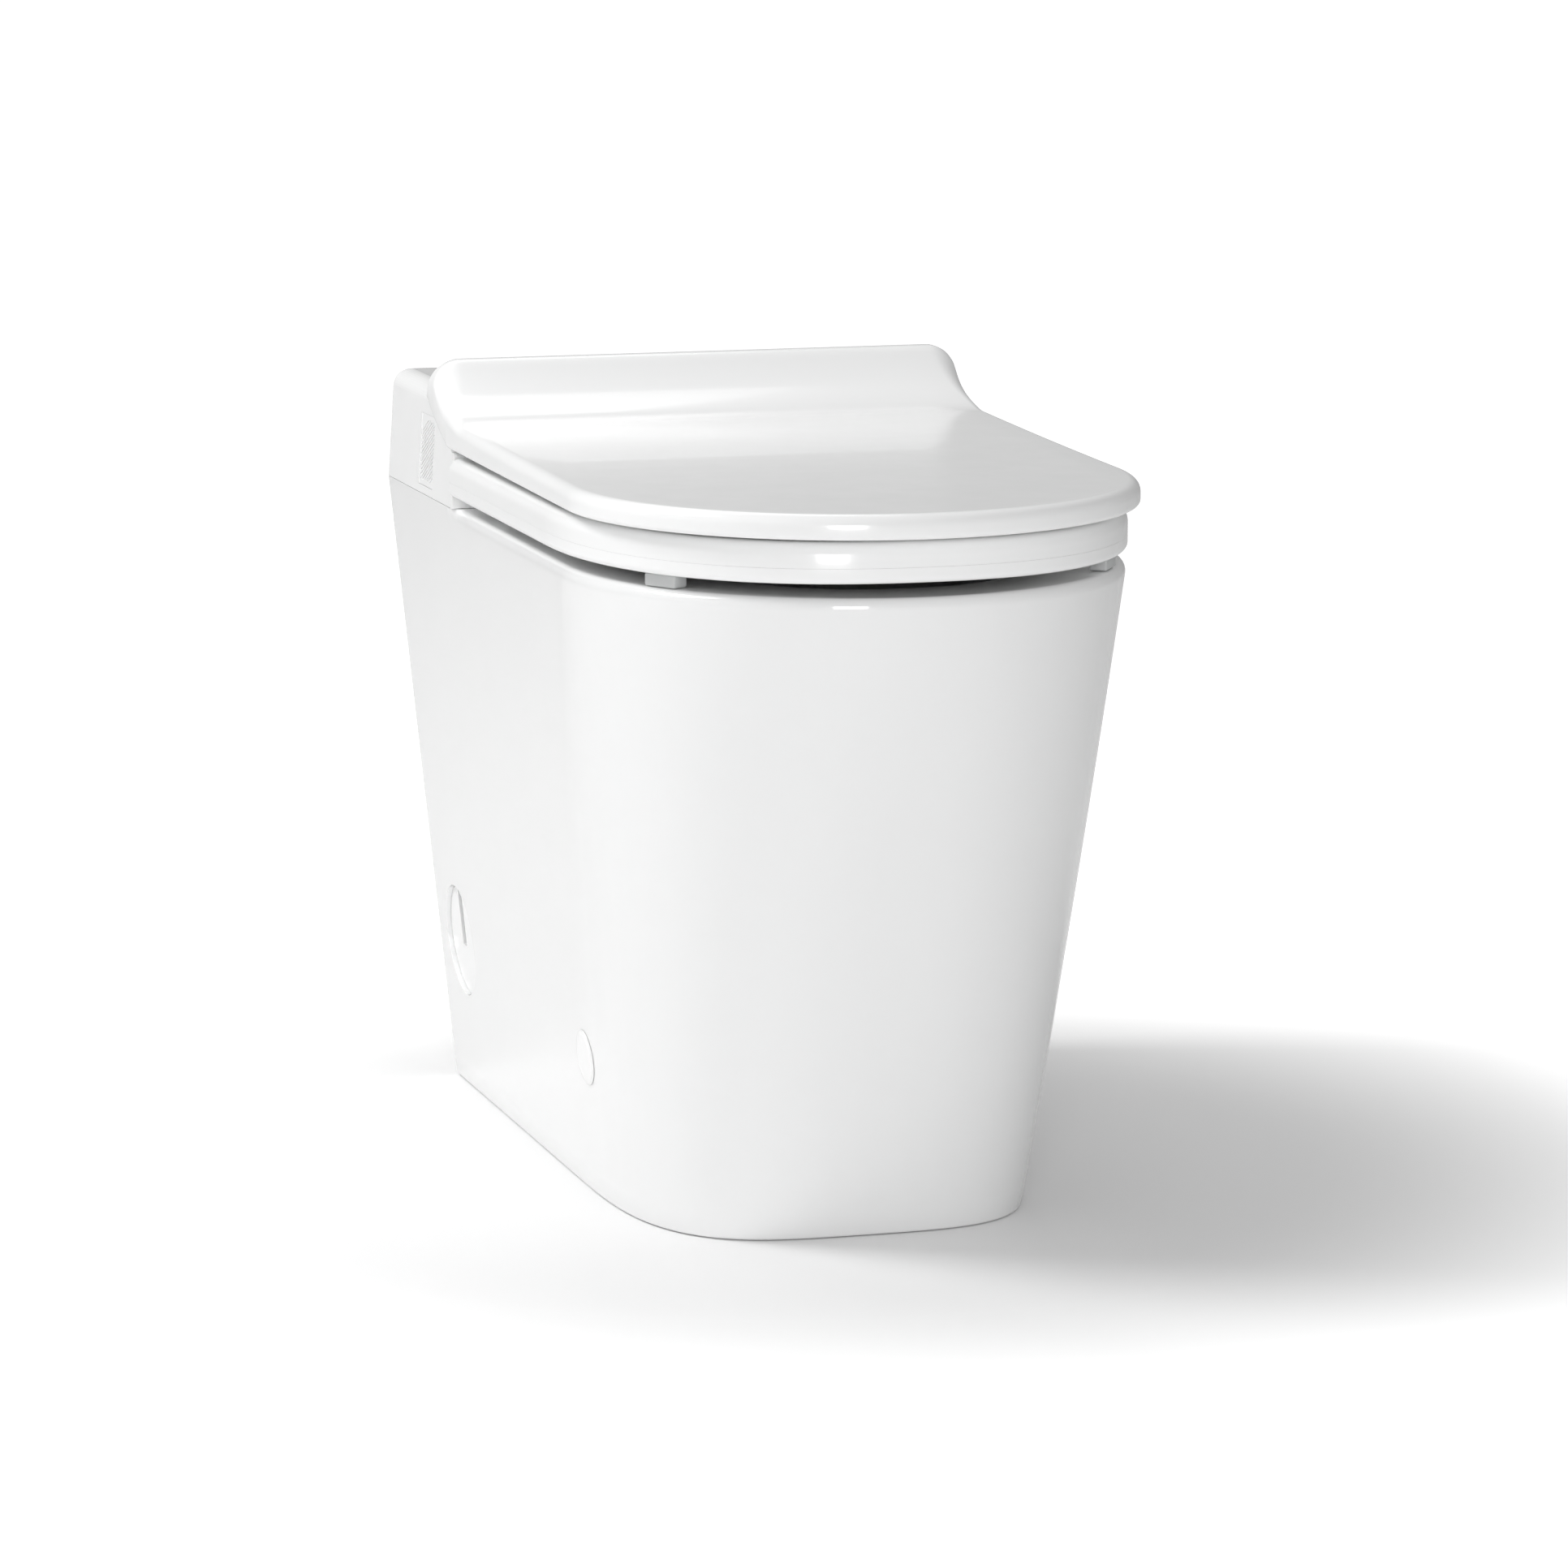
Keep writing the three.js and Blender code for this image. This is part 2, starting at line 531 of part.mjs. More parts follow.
// Side view of the seat's arm: it runs back under the lid, then rises to the hinge axis.
function armProfile() {
  const { y, z } = HINGE_AXIS;
  const bends = [FACE + 10, y - 28, y - 12].map((at) => [at, lidUnder(at) - 2.2]);
  const drop = SEAT_ARM.thickness;
  return [
    [SEAT_REAR - 8, SEAT_TOP - 1], ...bends, [y - 8, lidUnder(y - 12) + 1], [y - SEAT_ARM.barrel, z],
    [y + SEAT_ARM.barrel, z], [y + SEAT_ARM.barrel - 1, z - 32],
    ...bends.map(([at, top]) => [at, top - drop]).reverse(), [SEAT_REAR - 8, SEAT_TOP - 1 - drop],
  ];
}

// Side view of the slot that the arm lies in, open to the front and the top.
function armSlot(grow) {
  const { y, z } = HINGE_AXIS;
  const under = SEAT_ARM.thickness + 1.5 + grow;
  const floor = [FACE + 10, y - 28, y - 12].map((at) => [at, lidUnder(at) - 2.2 - under]);
  return [[FACE - 5, SEAT_TOP - 1 - under], ...floor, [y + 8 + grow, z - 34 - grow], [y + 8 + grow, z + 20],
    [FACE - 5, z + 20]];
}

function housingCover() {
  const outer = housingForm(0);
  let shape = outer.subtract(housingForm(HOUSING.wall));
  for (const [, side] of SIDES) {
    const slotSpan = [side * (SEAT_ARM.inner - 1), side * (SEAT_ARM.inner + SEAT_ARM.width + 1)];
    const traySpan = [side * (SEAT_ARM.inner - 3.5), side * (SEAT_ARM.inner + SEAT_ARM.width + 3.5)];
    const tray = prism('x', armSlot(3), traySpan).intersect(outer).subtract(block(traySpan, [0, FACE + 0.5], [0, 600]));
    const slot = prism('x', armSlot(0), slotSpan);
    const ear = rod('x', EAR.radius, [side * EAR.inner, side * (EAR.inner + EAR.width)], [HINGE_AXIS.y, HINGE_AXIS.z])
      .add(block([side * EAR.inner, side * (EAR.inner + EAR.width)],
        [HINGE_AXIS.y - EAR.foot, HINGE_AXIS.y + EAR.foot], [HINGE_AXIS.z - 22, HINGE_AXIS.z]));
    const shaftBore = rod('x', HINGE_SHAFT.radius + CLEARANCE, [side * 100, side * HALF], [HINGE_AXIS.y, HINGE_AXIS.z]);
    shape = shape.add(tray).subtract(slot).add(ear).subtract(shaftBore);
  }
  const lugs = [DUCT.x[0] - 3.2, DUCT.x[1] + CLEARANCE].map((x) => block([x, x + 2.9], [FLAP.y - 2.4, FACE + 0.5],
    [FLAP.z - 2.4, FLAP.z + 2.4]));
  shape = joined([shape, ...lugs])
    .subtract(rod('x', FLAP.pin + CLEARANCE, [DUCT.x[0] - 2, DUCT.x[1] + 2], [FLAP.y, FLAP.z], 12))
    .subtract(block([DUCT.x[0] + DUCT.wall, DUCT.x[1] - DUCT.wall], [FACE - 4, FACE + 8],
      [DUCT.z[0] + DUCT.wall, DUCT.z[1] - DUCT.wall]))
    .subtract(block(WINDOW.x.map((x, i) => x + (i ? 1 : -1) * CLEARANCE), [FACE - 4, FACE + 8],
      WINDOW.z.map((z, i) => z + (i ? 1 : -1) * CLEARANCE)))
    .subtract(block([-WAND_GUIDE_HALF, WAND_GUIDE_HALF], [FACE - 4, FACE + 8],
      [RIM_HEIGHT + 6.5, RIM_HEIGHT + 28]))
    .subtract(prism('x', ventOutline(CLEARANCE), [-HALF - 5, -HALF + 20]))
    .subtract(prism('x', panelOutline(CLEARANCE), [HALF - 20, HALF + 5]));
  piece('housing_cover', shape, whitePlastic);
}

// Moves an outline from the housing's side view into a wall group's own y and z.
function onWall(outline, side, y, z) {
  return outline.map(([a, b]) => [side * (a - y), b - z]);
}

function ventGrille() {
  const [y, z] = [(VENT.front + VENT.rear) / 2, (VENT.low + VENT.high) / 2];
  const plate = prism('x', onWall(ventOutline(0), -1, y, z), [-HOUSING.wall, -0.4]);
  const [halfLength, halfHeight] = [(VENT.rear - VENT.front) / 2, (VENT.high - VENT.low) / 2];
  const rise = Math.tan(THREE.MathUtils.degToRad(VENT_SLOT.rise));
  const slotArea = prism('x', onWall(ventOutline(-VENT.bar), -1, y, z), [-10, 10]);
  const pitch = (2 * halfHeight + 2 * halfLength * rise) / (VENT_SLOT.count + 1);
  const slots = Array.from({ length: VENT_SLOT.count }, (_, i) => {
    const middle = -halfHeight - halfLength * rise + pitch * (i + 1);
    const [lowEnd, highEnd] = [middle - halfLength * rise, middle + halfLength * rise];
    const t = VENT_SLOT.height / 2;
    return prism('x', [[-halfLength, lowEnd - t], [halfLength, highEnd - t],
      [halfLength, highEnd + t], [-halfLength, lowEnd + t]], [-8, 8]);
  });
  piece('vent_grille', plate.subtract(joined(slots).intersect(slotArea)), innerPlastic, wallFrame(-1, y, z));
}

function controlPanel() {
  const frame = wallFrame(1, PANEL.y, PANEL.z);
  const plate = prism('x', onWall(panelOutline(0), 1, PANEL.y, PANEL.z), [-PANEL.thickness - 0.4, -0.4]);
  const places = [-BUTTON.spacing, BUTTON.spacing];
  const holes = places.map((y) => rod('x', BUTTON.radius + CLEARANCE, [-10, 10], [y, 0], 28));
  piece('control_panel', plate.subtract(joined(holes)), greyPlastic, frame);
  ['flush_button', 'wash_button'].forEach((name, i) => {
    const cap = rod('x', BUTTON.radius, [BUTTON.proud - BUTTON.length, BUTTON.proud], [places[i], 0], 28);
    piece(name, cap, i ? innerPlastic : steel, frame);
  });
}

function basePlate() {
  const outline = [[-1, 1], [1, 1], [1, -1], [-1, -1]].map(([x, y]) => [
    x * (HALF - BASE_PLATE.margin),
    y > 0 ? REAR - BASE_PLATE.margin : FACE + BASE_PLATE.margin,
  ]);
  let plate = prism('z', outline, [RIM_HEIGHT + CLEARANCE, BASE_TOP])
    .subtract(rod('z', GLAND.radius + CLEARANCE, [RIM_HEIGHT - 5, BASE_TOP + 5], GLAND.place))
    .subtract(rod('z', INLET.radius + CLEARANCE, [RIM_HEIGHT - 5, BASE_TOP + 5], INLET.place));
  for (const [, side] of SIDES) {
    plate = plate.subtract(rod('z', MOUNT_BOLT.shank + CLEARANCE, [RIM_HEIGHT - 5, BASE_TOP + 5],
      [side * MOUNT_BOLT.x, MOUNT_BOLT.y]));
  }
  piece('base_plate', plate, innerPlastic);
}

function mountingBolt(name, side) {
  const place = [side * MOUNT_BOLT.x, MOUNT_BOLT.y];
  const bolt = rod('z', MOUNT_BOLT.shank, [RIM_HEIGHT - DECK - 12, BASE_TOP + CLEARANCE], place, 16)
    .add(rod('z', MOUNT_BOLT.head, [BASE_TOP + CLEARANCE, BASE_TOP + 5], place, 6));
  piece(`mounting_bolt_${name}`, bolt, steel);
}

// ---------------------------------------------------------------- water, power and air inside the housing

const GLAND = { radius: 9, place: [-92, REAR - 25] };
const INLET = { radius: 10, place: [-60, REAR - 29] };
const INNER_WALL = housingHalf(HOUSING_TOP - HOUSING.shoulder) - HOUSING.wall - 4; // inside of the side walls

function powerInlet() {
  const gland = rod('z', GLAND.radius, [RIM_HEIGHT - DECK - 4, BASE_TOP + 1], GLAND.place)
    .add(rod('z', GLAND.radius + 4, [FLOOR_OF_HOUSING, FLOOR_OF_HOUSING + 6], GLAND.place, 6))
    .subtract(rod('z', 3.5, [RIM_HEIGHT - 40, FLOOR_OF_HOUSING + 12], GLAND.place, 16));
  piece('cable_gland', gland, blackPlastic);
  const beside = GLAND.place[0] - GLAND.radius - 7;
  const supply = block([-INNER_WALL, beside], [REAR - 70, REAR - 9],
    [FLOOR_OF_HOUSING, FLOOR_OF_HOUSING + 42]);
  piece('power_supply', supply, blackPlastic);
}

const VALVE = { half: 16, low: FLOOR_OF_HOUSING + 7 };
const HEATER = { x: [94, INNER_WALL], y: [HINGE_AXIS.y + 14, REAR - 55], tall: 42 };

function waterInlet() {
  const [x, y] = INLET.place;
  const fitting = rod('z', INLET.radius, [RIM_HEIGHT - 34, FLOOR_OF_HOUSING + 2], INLET.place)
    .add(rod('z', INLET.radius + 3.5, [FLOOR_OF_HOUSING, VALVE.low - CLEARANCE], INLET.place, 6))
    .subtract(rod('z', INLET.radius - 3, [RIM_HEIGHT - 50, RIM_HEIGHT - 6], INLET.place, 16));
  piece('water_inlet_fitting', fitting, brass);
  const valve = block([x - VALVE.half, x + VALVE.half], [y - VALVE.half, y + VALVE.half], [VALVE.low, VALVE.low + 24])
    .add(rod('z', 11, [VALVE.low + 20, VALVE.low + 46], [x, y], 20));
  piece('inlet_valve', valve, greyPlastic);
  const heater = block(HEATER.x, HEATER.y, [FLOOR_OF_HOUSING, FLOOR_OF_HOUSING + HEATER.tall])
    .add(rod('x', 13, [HEATER.x[0] - 9, HEATER.x[0] + 4], [HEATER.y[0] + 20, FLOOR_OF_HOUSING + 24], 20));
  piece('water_heater', heater, innerPlastic);
}

const WAND_ANGLE = THREE.MathUtils.degToRad(WAND.slope);
const WAND_MOUTH = { y: FACE - 6, z: RIM_HEIGHT + WAND.above };
const HOSE = { radius: 3.5, z: FLOOR_OF_HOUSING + 17 };

function hoses() {
  const [x, y] = INLET.place;
  const heaterRear = HEATER.y[1] + 1;
  const entry = HEATER.x[0] + 36;
  const fromValve = x + VALVE.half + CLEARANCE;
  piece('inlet_hose', pipe([[fromValve, y, HOSE.z], [fromValve + 50, y, HOSE.z], [entry - 30, y + 2, HOSE.z],
    [entry - 4, y - 8, HOSE.z], [entry, heaterRear, HOSE.z]], HOSE.radius, 22, 8), hoseSilicone);
  const hoseY = HEATER.y[1] - 8;
  piece('wash_hose', pipe([[HEATER.x[0] - CLEARANCE, hoseY, HOSE.z + 14], [HEATER.x[0] / 2 + 6, hoseY, HOSE.z + 17],
    [WAND_GUIDE_HALF + CLEARANCE, hoseY, HOSE.z + 14]], HOSE.radius, 12, 8), hoseSilicone);
}

function controlBoard() {
  const rear = REAR - HOUSING.wall - 7;
  const low = FLOOR_OF_HOUSING;
  const board = joined([
    block([-20, 110], [rear - 1.6, rear], [low, low + 60]),
    block([0, 30], [rear - 7, rear - 1], [low + 30, low + 52]),
    block([44, 60], [rear - 4.5, rear - 1], [low + 34, low + 50]),
    block([72, 100], [rear - 9, rear - 1], [low + 36, low + 46]),
  ]);
  piece('control_board', board, boardGreen);
}

const FAN = { x: 57, y: HINGE_AXIS.y + 30, radius: 27, chamber: 23, low: FLOOR_OF_HOUSING, tall: 25, wall: 2.6 };

function dryer() {
  const place = [FAN.x, FAN.y];
  const top = FAN.low + FAN.tall;
  const mouth = FAN.y - FAN.radius - 5;
  const scroll = rod('z', FAN.radius, [FAN.low, top], place, 26)
    .add(block(DUCT.x, [mouth, FAN.y], DUCT.z))
    .subtract(rod('z', FAN.chamber, [FAN.low + FAN.wall, top - FAN.wall], place, 26))
    .subtract(block([DUCT.x[0] + DUCT.wall, DUCT.x[1] - DUCT.wall], [mouth - 5, FAN.y - 12],
      [DUCT.z[0] + DUCT.wall, DUCT.z[1] - DUCT.wall]))
    .subtract(rod('z', 14, [FAN.low - 5, FAN.low + 5], place))
    .subtract(rod('z', 4, [top - 5, top + 5], place, 16));
  piece('dryer_fan_housing', scroll, greyPlastic);
  const low = FAN.low + FAN.wall + 1.5;
  const high = top - FAN.wall - 1.5;
  const blades = Array.from({ length: 10 }, (_, i) => {
    const blade = new THREE.BoxGeometry(9, 1.2, high - low);
    blade.translate(15.5, 0, (low + high) / 2).rotateZ((i / 10) * Math.PI * 2).translate(FAN.x, FAN.y, 0);
    return solid(blade);
  });
  const wheel = joined([rod('z', 20, [high - 1.5, high], place, 30), rod('z', 5, [low, high], place, 16),
    rod('z', 2, [low, top + 6], place, 12), ...blades]);
  piece('dryer_impeller', wheel, innerPlastic);
  const motor = rod('z', 14, [top + CLEARANCE, top + 20], place, 24)
    .subtract(rod('z', 2 + CLEARANCE, [top - 5, top + 8], place, 12));
  piece('dryer_motor', motor, steel);
  const ductEnd = mouth - CLEARANCE;
  const duct = block(DUCT.x, [FACE + HOUSING.wall + CLEARANCE, ductEnd], DUCT.z)
    .subtract(block([DUCT.x[0] + DUCT.wall, DUCT.x[1] - DUCT.wall], [FACE, ductEnd + 5],
      [DUCT.z[0] + DUCT.wall, DUCT.z[1] - DUCT.wall]));
  piece('dryer_duct', duct, greyPlastic);
  const fins = [0, 1, 2, 3].map((i) => block([36 + 4.5 * i, 37.2 + 4.5 * i], [FACE + 12, ductEnd - 8],
    [DUCT.z[0] + DUCT.wall + CLEARANCE, DUCT.z[1] - DUCT.wall - CLEARANCE]));
  const core = block([34, 54], [FACE + 22, FACE + 26], [DUCT.z[0] + 7, DUCT.z[1] - 7]);
  piece('dryer_heater', joined([core, ...fins]), copper);
}

// The flap hangs over the dryer outlet on two pins and swings forward.
function dryerFlap() {
  const flap = joined([
    block(FLAP.x, [FLAP.y - FLAP.plate / 2, FLAP.y + FLAP.plate / 2], [FLAP.z - FLAP.drop, FLAP.z]),
    rod('x', FLAP.barrel, FLAP.x, [FLAP.y, FLAP.z], 14),
    rod('x', FLAP.pin, [FLAP.x[0] - 1.8, FLAP.x[1] + 1.8], [FLAP.y, FLAP.z], 12),
  ]);
  piece('dryer_flap', flap, innerPlastic);
}

const ODOUR = { y: (VENT.front + VENT.rear) / 2, z: FLOOR_OF_HOUSING + 24, radius: 20 };

function deodoriser() {
  const outer = -INNER_WALL + 2;
  const filter = block([outer, outer + 17], [ODOUR.y - 18, ODOUR.y + 18], [FLOOR_OF_HOUSING, FLOOR_OF_HOUSING + 42]);
  piece('deodoriser_filter', filter, carbon);
  const [start, end] = [outer + 17 + CLEARANCE, outer + 42];
  const centre = [ODOUR.y, ODOUR.z];
  const shell = rod('x', ODOUR.radius, [start, end], centre, 30)
    .add(block([start, end], [ODOUR.y - 10, ODOUR.y + 10], [FLOOR_OF_HOUSING, ODOUR.z - 10]))
    .add(rod('x', 11, [end - 1, end + 16], centre, 20))
    .subtract(rod('x', ODOUR.radius - 3, [start + 2, end - 3], centre, 30))
    .subtract(rod('x', 12, [start - 5, start + 5], centre, 24))
    .subtract(rod('x', 2 + CLEARANCE, [end - 5, end + 8], centre, 12));
  piece('deodoriser_fan_housing', shell, greyPlastic);
  const blades = Array.from({ length: 8 }, (_, i) => {
    const blade = new THREE.BoxGeometry(12, 1.2, 8);
    blade.translate(start + 10, 0, 10).rotateX((i / 8) * Math.PI * 2).translate(0, ...centre);
    return solid(blade);
  });
  const wheel = joined([rod('x', 14.5, [start + 15, start + 16.5], centre, 26),
    rod('x', 4, [start + 4, start + 16], centre, 14), rod('x', 2, [start + 10, end + 6], centre, 12), ...blades]);
  piece('deodoriser_impeller', wheel, innerPlastic);
}

function sensorWindow() {
  piece('seat_sensor_window', block(WINDOW.x, [FACE, FACE + WINDOW.thickness], WINDOW.z), smokedWindow);
}

// ---------------------------------------------------------------- spray wand

// Turns a solid built along local Y, with its tip at the origin, into the wand's slope.
function alongWand(geometry) {
  return solid(geometry.rotateX(WAND_ANGLE).translate(0, WAND_MOUTH.y, WAND_MOUTH.z));
}

function wandRod(radius, from, to, sides = 16) {
  const geometry = new THREE.CylinderGeometry(radius, radius, to - from, sides);
  return alongWand(geometry.translate(0, (from + to) / 2, 0));
}

function wandNozzle(radius, at, low, high) {
  const geometry = new THREE.CylinderGeometry(radius, radius, high - low, 16);
  return alongWand(geometry.rotateX(Math.PI / 2).translate(0, at, (low + high) / 2));
}

const NOZZLES = { rear_nozzle: 13, front_nozzle: 26 };

function sprayWand() {
  const tip = new THREE.SphereGeometry(WAND.radius, 16, 8);
  let wand = wandRod(WAND.radius, WAND.radius, WAND.length).add(alongWand(tip.translate(0, WAND.radius, 0)));
  for (const [name, at] of Object.entries(NOZZLES)) {
    wand = wand.subtract(wandNozzle(3 + CLEARANCE, at, 3.5, 12));
    piece(name, wandNozzle(3, at, 3.5 + CLEARANCE, WAND.radius - 0.2), greyPlastic);
  }
  piece('spray_wand', wand, innerPlastic);
}

// The guide stands on the base plate and carries the motor that drives the wand.
function wandGuide() {
  const [front, rear] = [FACE + HOUSING.wall + 2, REAR - 50];
  const heightAt = (y) => WAND_MOUTH.z + (y - WAND_MOUTH.y) * Math.tan(WAND_ANGLE);
  const cover = WAND.radius + 4;
  const guide = prism('x', [[front, FLOOR_OF_HOUSING], [rear, FLOOR_OF_HOUSING], [rear, heightAt(rear) + cover],
    [front, heightAt(front) + cover]], [-WAND_GUIDE_HALF, WAND_GUIDE_HALF])
    .subtract(wandRod(WAND.radius + 0.6, -20, 200));
  piece('wand_guide', guide, greyPlastic);
  const centre = [rear - 18, FLOOR_OF_HOUSING + 26];
  const motor = rod('x', 13, [-WAND_GUIDE_HALF - CLEARANCE - 17, -WAND_GUIDE_HALF - CLEARANCE], centre, 24)
    .add(block([-WAND_GUIDE_HALF - 5, -WAND_GUIDE_HALF - CLEARANCE], [centre[0] - 16, centre[0] + 16],
      [FLOOR_OF_HOUSING, centre[1]]));
  piece('wand_motor', motor, steel);
}

// ---------------------------------------------------------------- seat

const SEAT_OUTLINE = halfOutline({
  half: HALF + SEAT.wider,
  rear: SEAT_REAR,
  front: NOSE + SEAT.setback,
  nose: SEAT.nose,
  power: SEAT.power,
  sideStations: [SEAT_REAR - 60],
});

function seatForm(inset, low, high, round) {
  const rings = [ring(SEAT_OUTLINE, inset + round.under, low), ring(SEAT_OUTLINE, inset, low + round.under)];
  for (const angle of [0, 30, 60, 90].map(THREE.MathUtils.degToRad)) {
    const setIn = inset + round.top * (1 - Math.cos(angle));
    rings.push(ring(SEAT_OUTLINE, setIn, high - round.top * (1 - Math.sin(angle))));
  }
  return stacked(rings);
}

function seatHole(grow) {
  const front = NOSE + SEAT.setback + SEAT_HOLE.setback;
  const level = (z, flare) => ({
    z,
    half: SEAT_HOLE.half + grow + flare,
    front: front - grow - flare,
    rear: SEAT_REAR - SEAT_HOLE.rear + grow + flare,
  });
  return ovalStack([level(SEAT_BOTTOM - 5, 3), level(SEAT_BOTTOM + 3, 0), level(SEAT_TOP - 8, 0),
    level(SEAT_TOP - 3, 2.2), level(SEAT_TOP, 7), level(SEAT_TOP + 5, 7)], 2.3);
}

function seat() {
  const archFront = SEAT_REAR - SEAT_HOLE.rear - 20;
  const arch = block([-BRIDGE.half, BRIDGE.half], [archFront, SEAT_REAR + 5],
    [SEAT_BOTTOM - 5, SEAT_TOP - BRIDGE.thickness]);
  const whole = seatForm(0, SEAT_BOTTOM, SEAT_TOP, { under: 4, top: 9 }).subtract(seatHole(0)).subtract(arch);
  const wide = [-HALF - 20, HALF + 20];
  const long = [NOSE - 20, REAR];
  const topHalf = block(wide, long, [SEAT_SPLIT + CLEARANCE / 2, SEAT_TOP + 20]);
  const lowHalf = block(wide, long, [SEAT_BOTTOM - 20, SEAT_SPLIT - CLEARANCE / 2]);
  const wall = SEAT_SHELL_WALL;
  const hollowRear = block(wide, [NOSE, archFront - 6], [SEAT_BOTTOM, SEAT_TOP]);
  const hollow = seatForm(wall, SEAT_BOTTOM, SEAT_TOP - wall, { under: 1, top: 7 })
    .subtract(seatHole(wall)).intersect(hollowRear);
  let shell = whole.intersect(topHalf).subtract(hollow);
  for (const [, side] of SIDES) {
    const span = [side * SEAT_ARM.inner, side * (SEAT_ARM.inner + SEAT_ARM.width)];
    shell = joined([shell, prism('x', armProfile(), span),
      rod('x', SEAT_ARM.barrel, span, [HINGE_AXIS.y, HINGE_AXIS.z])])
      .subtract(rod('x', HINGE_SHAFT.radius + CLEARANCE, [side * 90, side * 140], [HINGE_AXIS.y, HINGE_AXIS.z]));
  }
  piece('seat_top_shell', shell, whitePlastic);
  piece('seat_base', whole.intersect(lowHalf), whitePlastic);
  const warmth = seatForm(wall + 4, SEAT_TOP - wall - 3, SEAT_TOP - wall - CLEARANCE, { under: 0, top: 2 })
    .subtract(seatHole(wall + 9))
    .intersect(block(wide, [NOSE, archFront - 12], [SEAT_BOTTOM, SEAT_TOP]));
  piece('seat_heater', warmth, copper);
}

// Rubber pads under the seat rest on the ceramic rim.
function seatBumpers() {
  const low = RIM_HEIGHT + CLEARANCE;
  const high = SEAT_BOTTOM - CLEARANCE;
  for (const [name, side] of SIDES) {
    for (const [end, x, y, turn] of [['front', HALF - 41, NOSE + 103, 32], ['rear', HALF - 22, SEAT_REAR - 60, 0]]) {
      const pad = new THREE.BoxGeometry(12, 26, high - low);
      pad.rotateZ(THREE.MathUtils.degToRad(-side * turn)).translate(side * x, y, (low + high) / 2);
      piece(`seat_bumper_${end}_${name}`, solid(pad), rubber);
    }
  }
}

// ---------------------------------------------------------------- lid

const LID_REAR_STATIONS = 12;

function lidOutline() {
  const rear = HINGE_AXIS.y + 14;
  const climb = Array.from({ length: LID_REAR_STATIONS }, (_, i) => {
    return rear + ((SWEEP_START - rear) * (i + 1)) / LID_REAR_STATIONS;
  });
  return halfOutline({
    half: HALF + LID.wider,
    rear,
    front: NOSE,
    nose: LID.nose,
    power: 2,
    sideStations: [...climb, SWEEP_START - 60, SWEEP_START - 130],
  });
}

// Radius of the lid's top edge: it grows from the flat part to the crest.
function lidEdge(y) {
  const t = THREE.MathUtils.smoothstep(y, SWEEP_START + 20, CREST_CENTRE.y);
  return LID_EDGE.top + (LID_EDGE.crest - LID_EDGE.top) * t;
}

function lidForm() {
  const outline = lidOutline();
  const rings = [
    ring(outline, LID_EDGE.under, lidUnder),
    ring(outline, 0.8, (y) => lidUnder(y) + 0.8),
    ring(outline, 0, (y) => lidUnder(y) + LID_EDGE.under),
  ];
  for (const angle of [0, 22.5, 45, 67.5, 90].map(THREE.MathUtils.degToRad)) {
    rings.push(ring(outline, (y) => lidEdge(y) * (1 - Math.cos(angle)),
      (y) => lidTop(y) - lidEdge(y) * (1 - Math.sin(angle))));
  }
  return stacked(rings);
}

// What lies behind the lid's crest and its leaning rear face.
function behindLid() {
  const facing = THREE.MathUtils.degToRad(CREST.facing);
  const { y, z } = CREST_CENTRE;
  const edge = [y + CREST.radius * Math.cos(facing), z + CREST.radius * Math.sin(facing)];
  const drop = 60;
  return prism('x', [
    ...arc([y, z], CREST.radius, 90, CREST.facing, 6),
    [edge[0] + drop * Math.tan(facing), edge[1] - drop],
    [y + 90, edge[1] - drop],
    [y + 90, z + 40],
    [y, z + 40],
  ], [-HALF - 20, HALF + 20]);
}

function lid() {
  const outline = lidOutline();
  const hollowEnd = HINGE_AXIS.y - 26;
  const front = block([-HALF, HALF], [NOSE, hollowEnd], [0, 600]);
  const hollow = stacked([
    ring(outline, LID.wall + 1, (y) => lidUnder(y) - 3),
    ring(outline, LID.wall + 1, (y) => lidTop(y) - LID_EDGE.top),
    ring(outline, LID.wall + 5, (y) => lidTop(y) - LID.wall),
  ]).intersect(front);
  let shell = lidForm().subtract(behindLid()).subtract(hollow);
  for (const [, side] of SIDES) {
    const notch = block([side * (SEAT_ARM.inner - 0.8), side * (EAR.inner + EAR.width + 0.8)],
      [HINGE_AXIS.y - EAR.radius - 2.3, HINGE_AXIS.y + 20], [LID_UNDER, HINGE_AXIS.z + EAR.radius + 2]);
    const bore = rod('x', HINGE_SHAFT.radius + CLEARANCE,
      [side * (SEAT_ARM.inner - HINGE_SHAFT.engage - 1), side * (EAR.inner + EAR.width + HINGE_SHAFT.engage + 1)],
      [HINGE_AXIS.y, HINGE_AXIS.z]);
    shell = shell.subtract(notch).subtract(bore);
  }
  piece('lid_shell', shell, whitePlastic);
  const panel = stacked([
    ring(outline, LID.wall + 1 + CLEARANCE, lidUnder),
    ring(outline, LID.wall + 1 + CLEARANCE, (y) => lidUnder(y) + LID.wall),
  ]).intersect(block([-HALF, HALF], [NOSE, hollowEnd - CLEARANCE], [0, 600]));
  piece('lid_inner_panel', panel, whitePlastic);
}

function lidBumper(name, side) {
  const y = NOSE + 127;
  const low = SEAT_TOP + CLEARANCE;
  const high = lidUnder(y - 12) - CLEARANCE;
  const pad = new THREE.BoxGeometry(10, 20, high - low);
  pad.rotateZ(THREE.MathUtils.degToRad(-side * 30)).translate(side * (HALF - 40), y, (low + high) / 2);
  piece(`lid_bumper_${name}`, solid(pad), rubber);
}

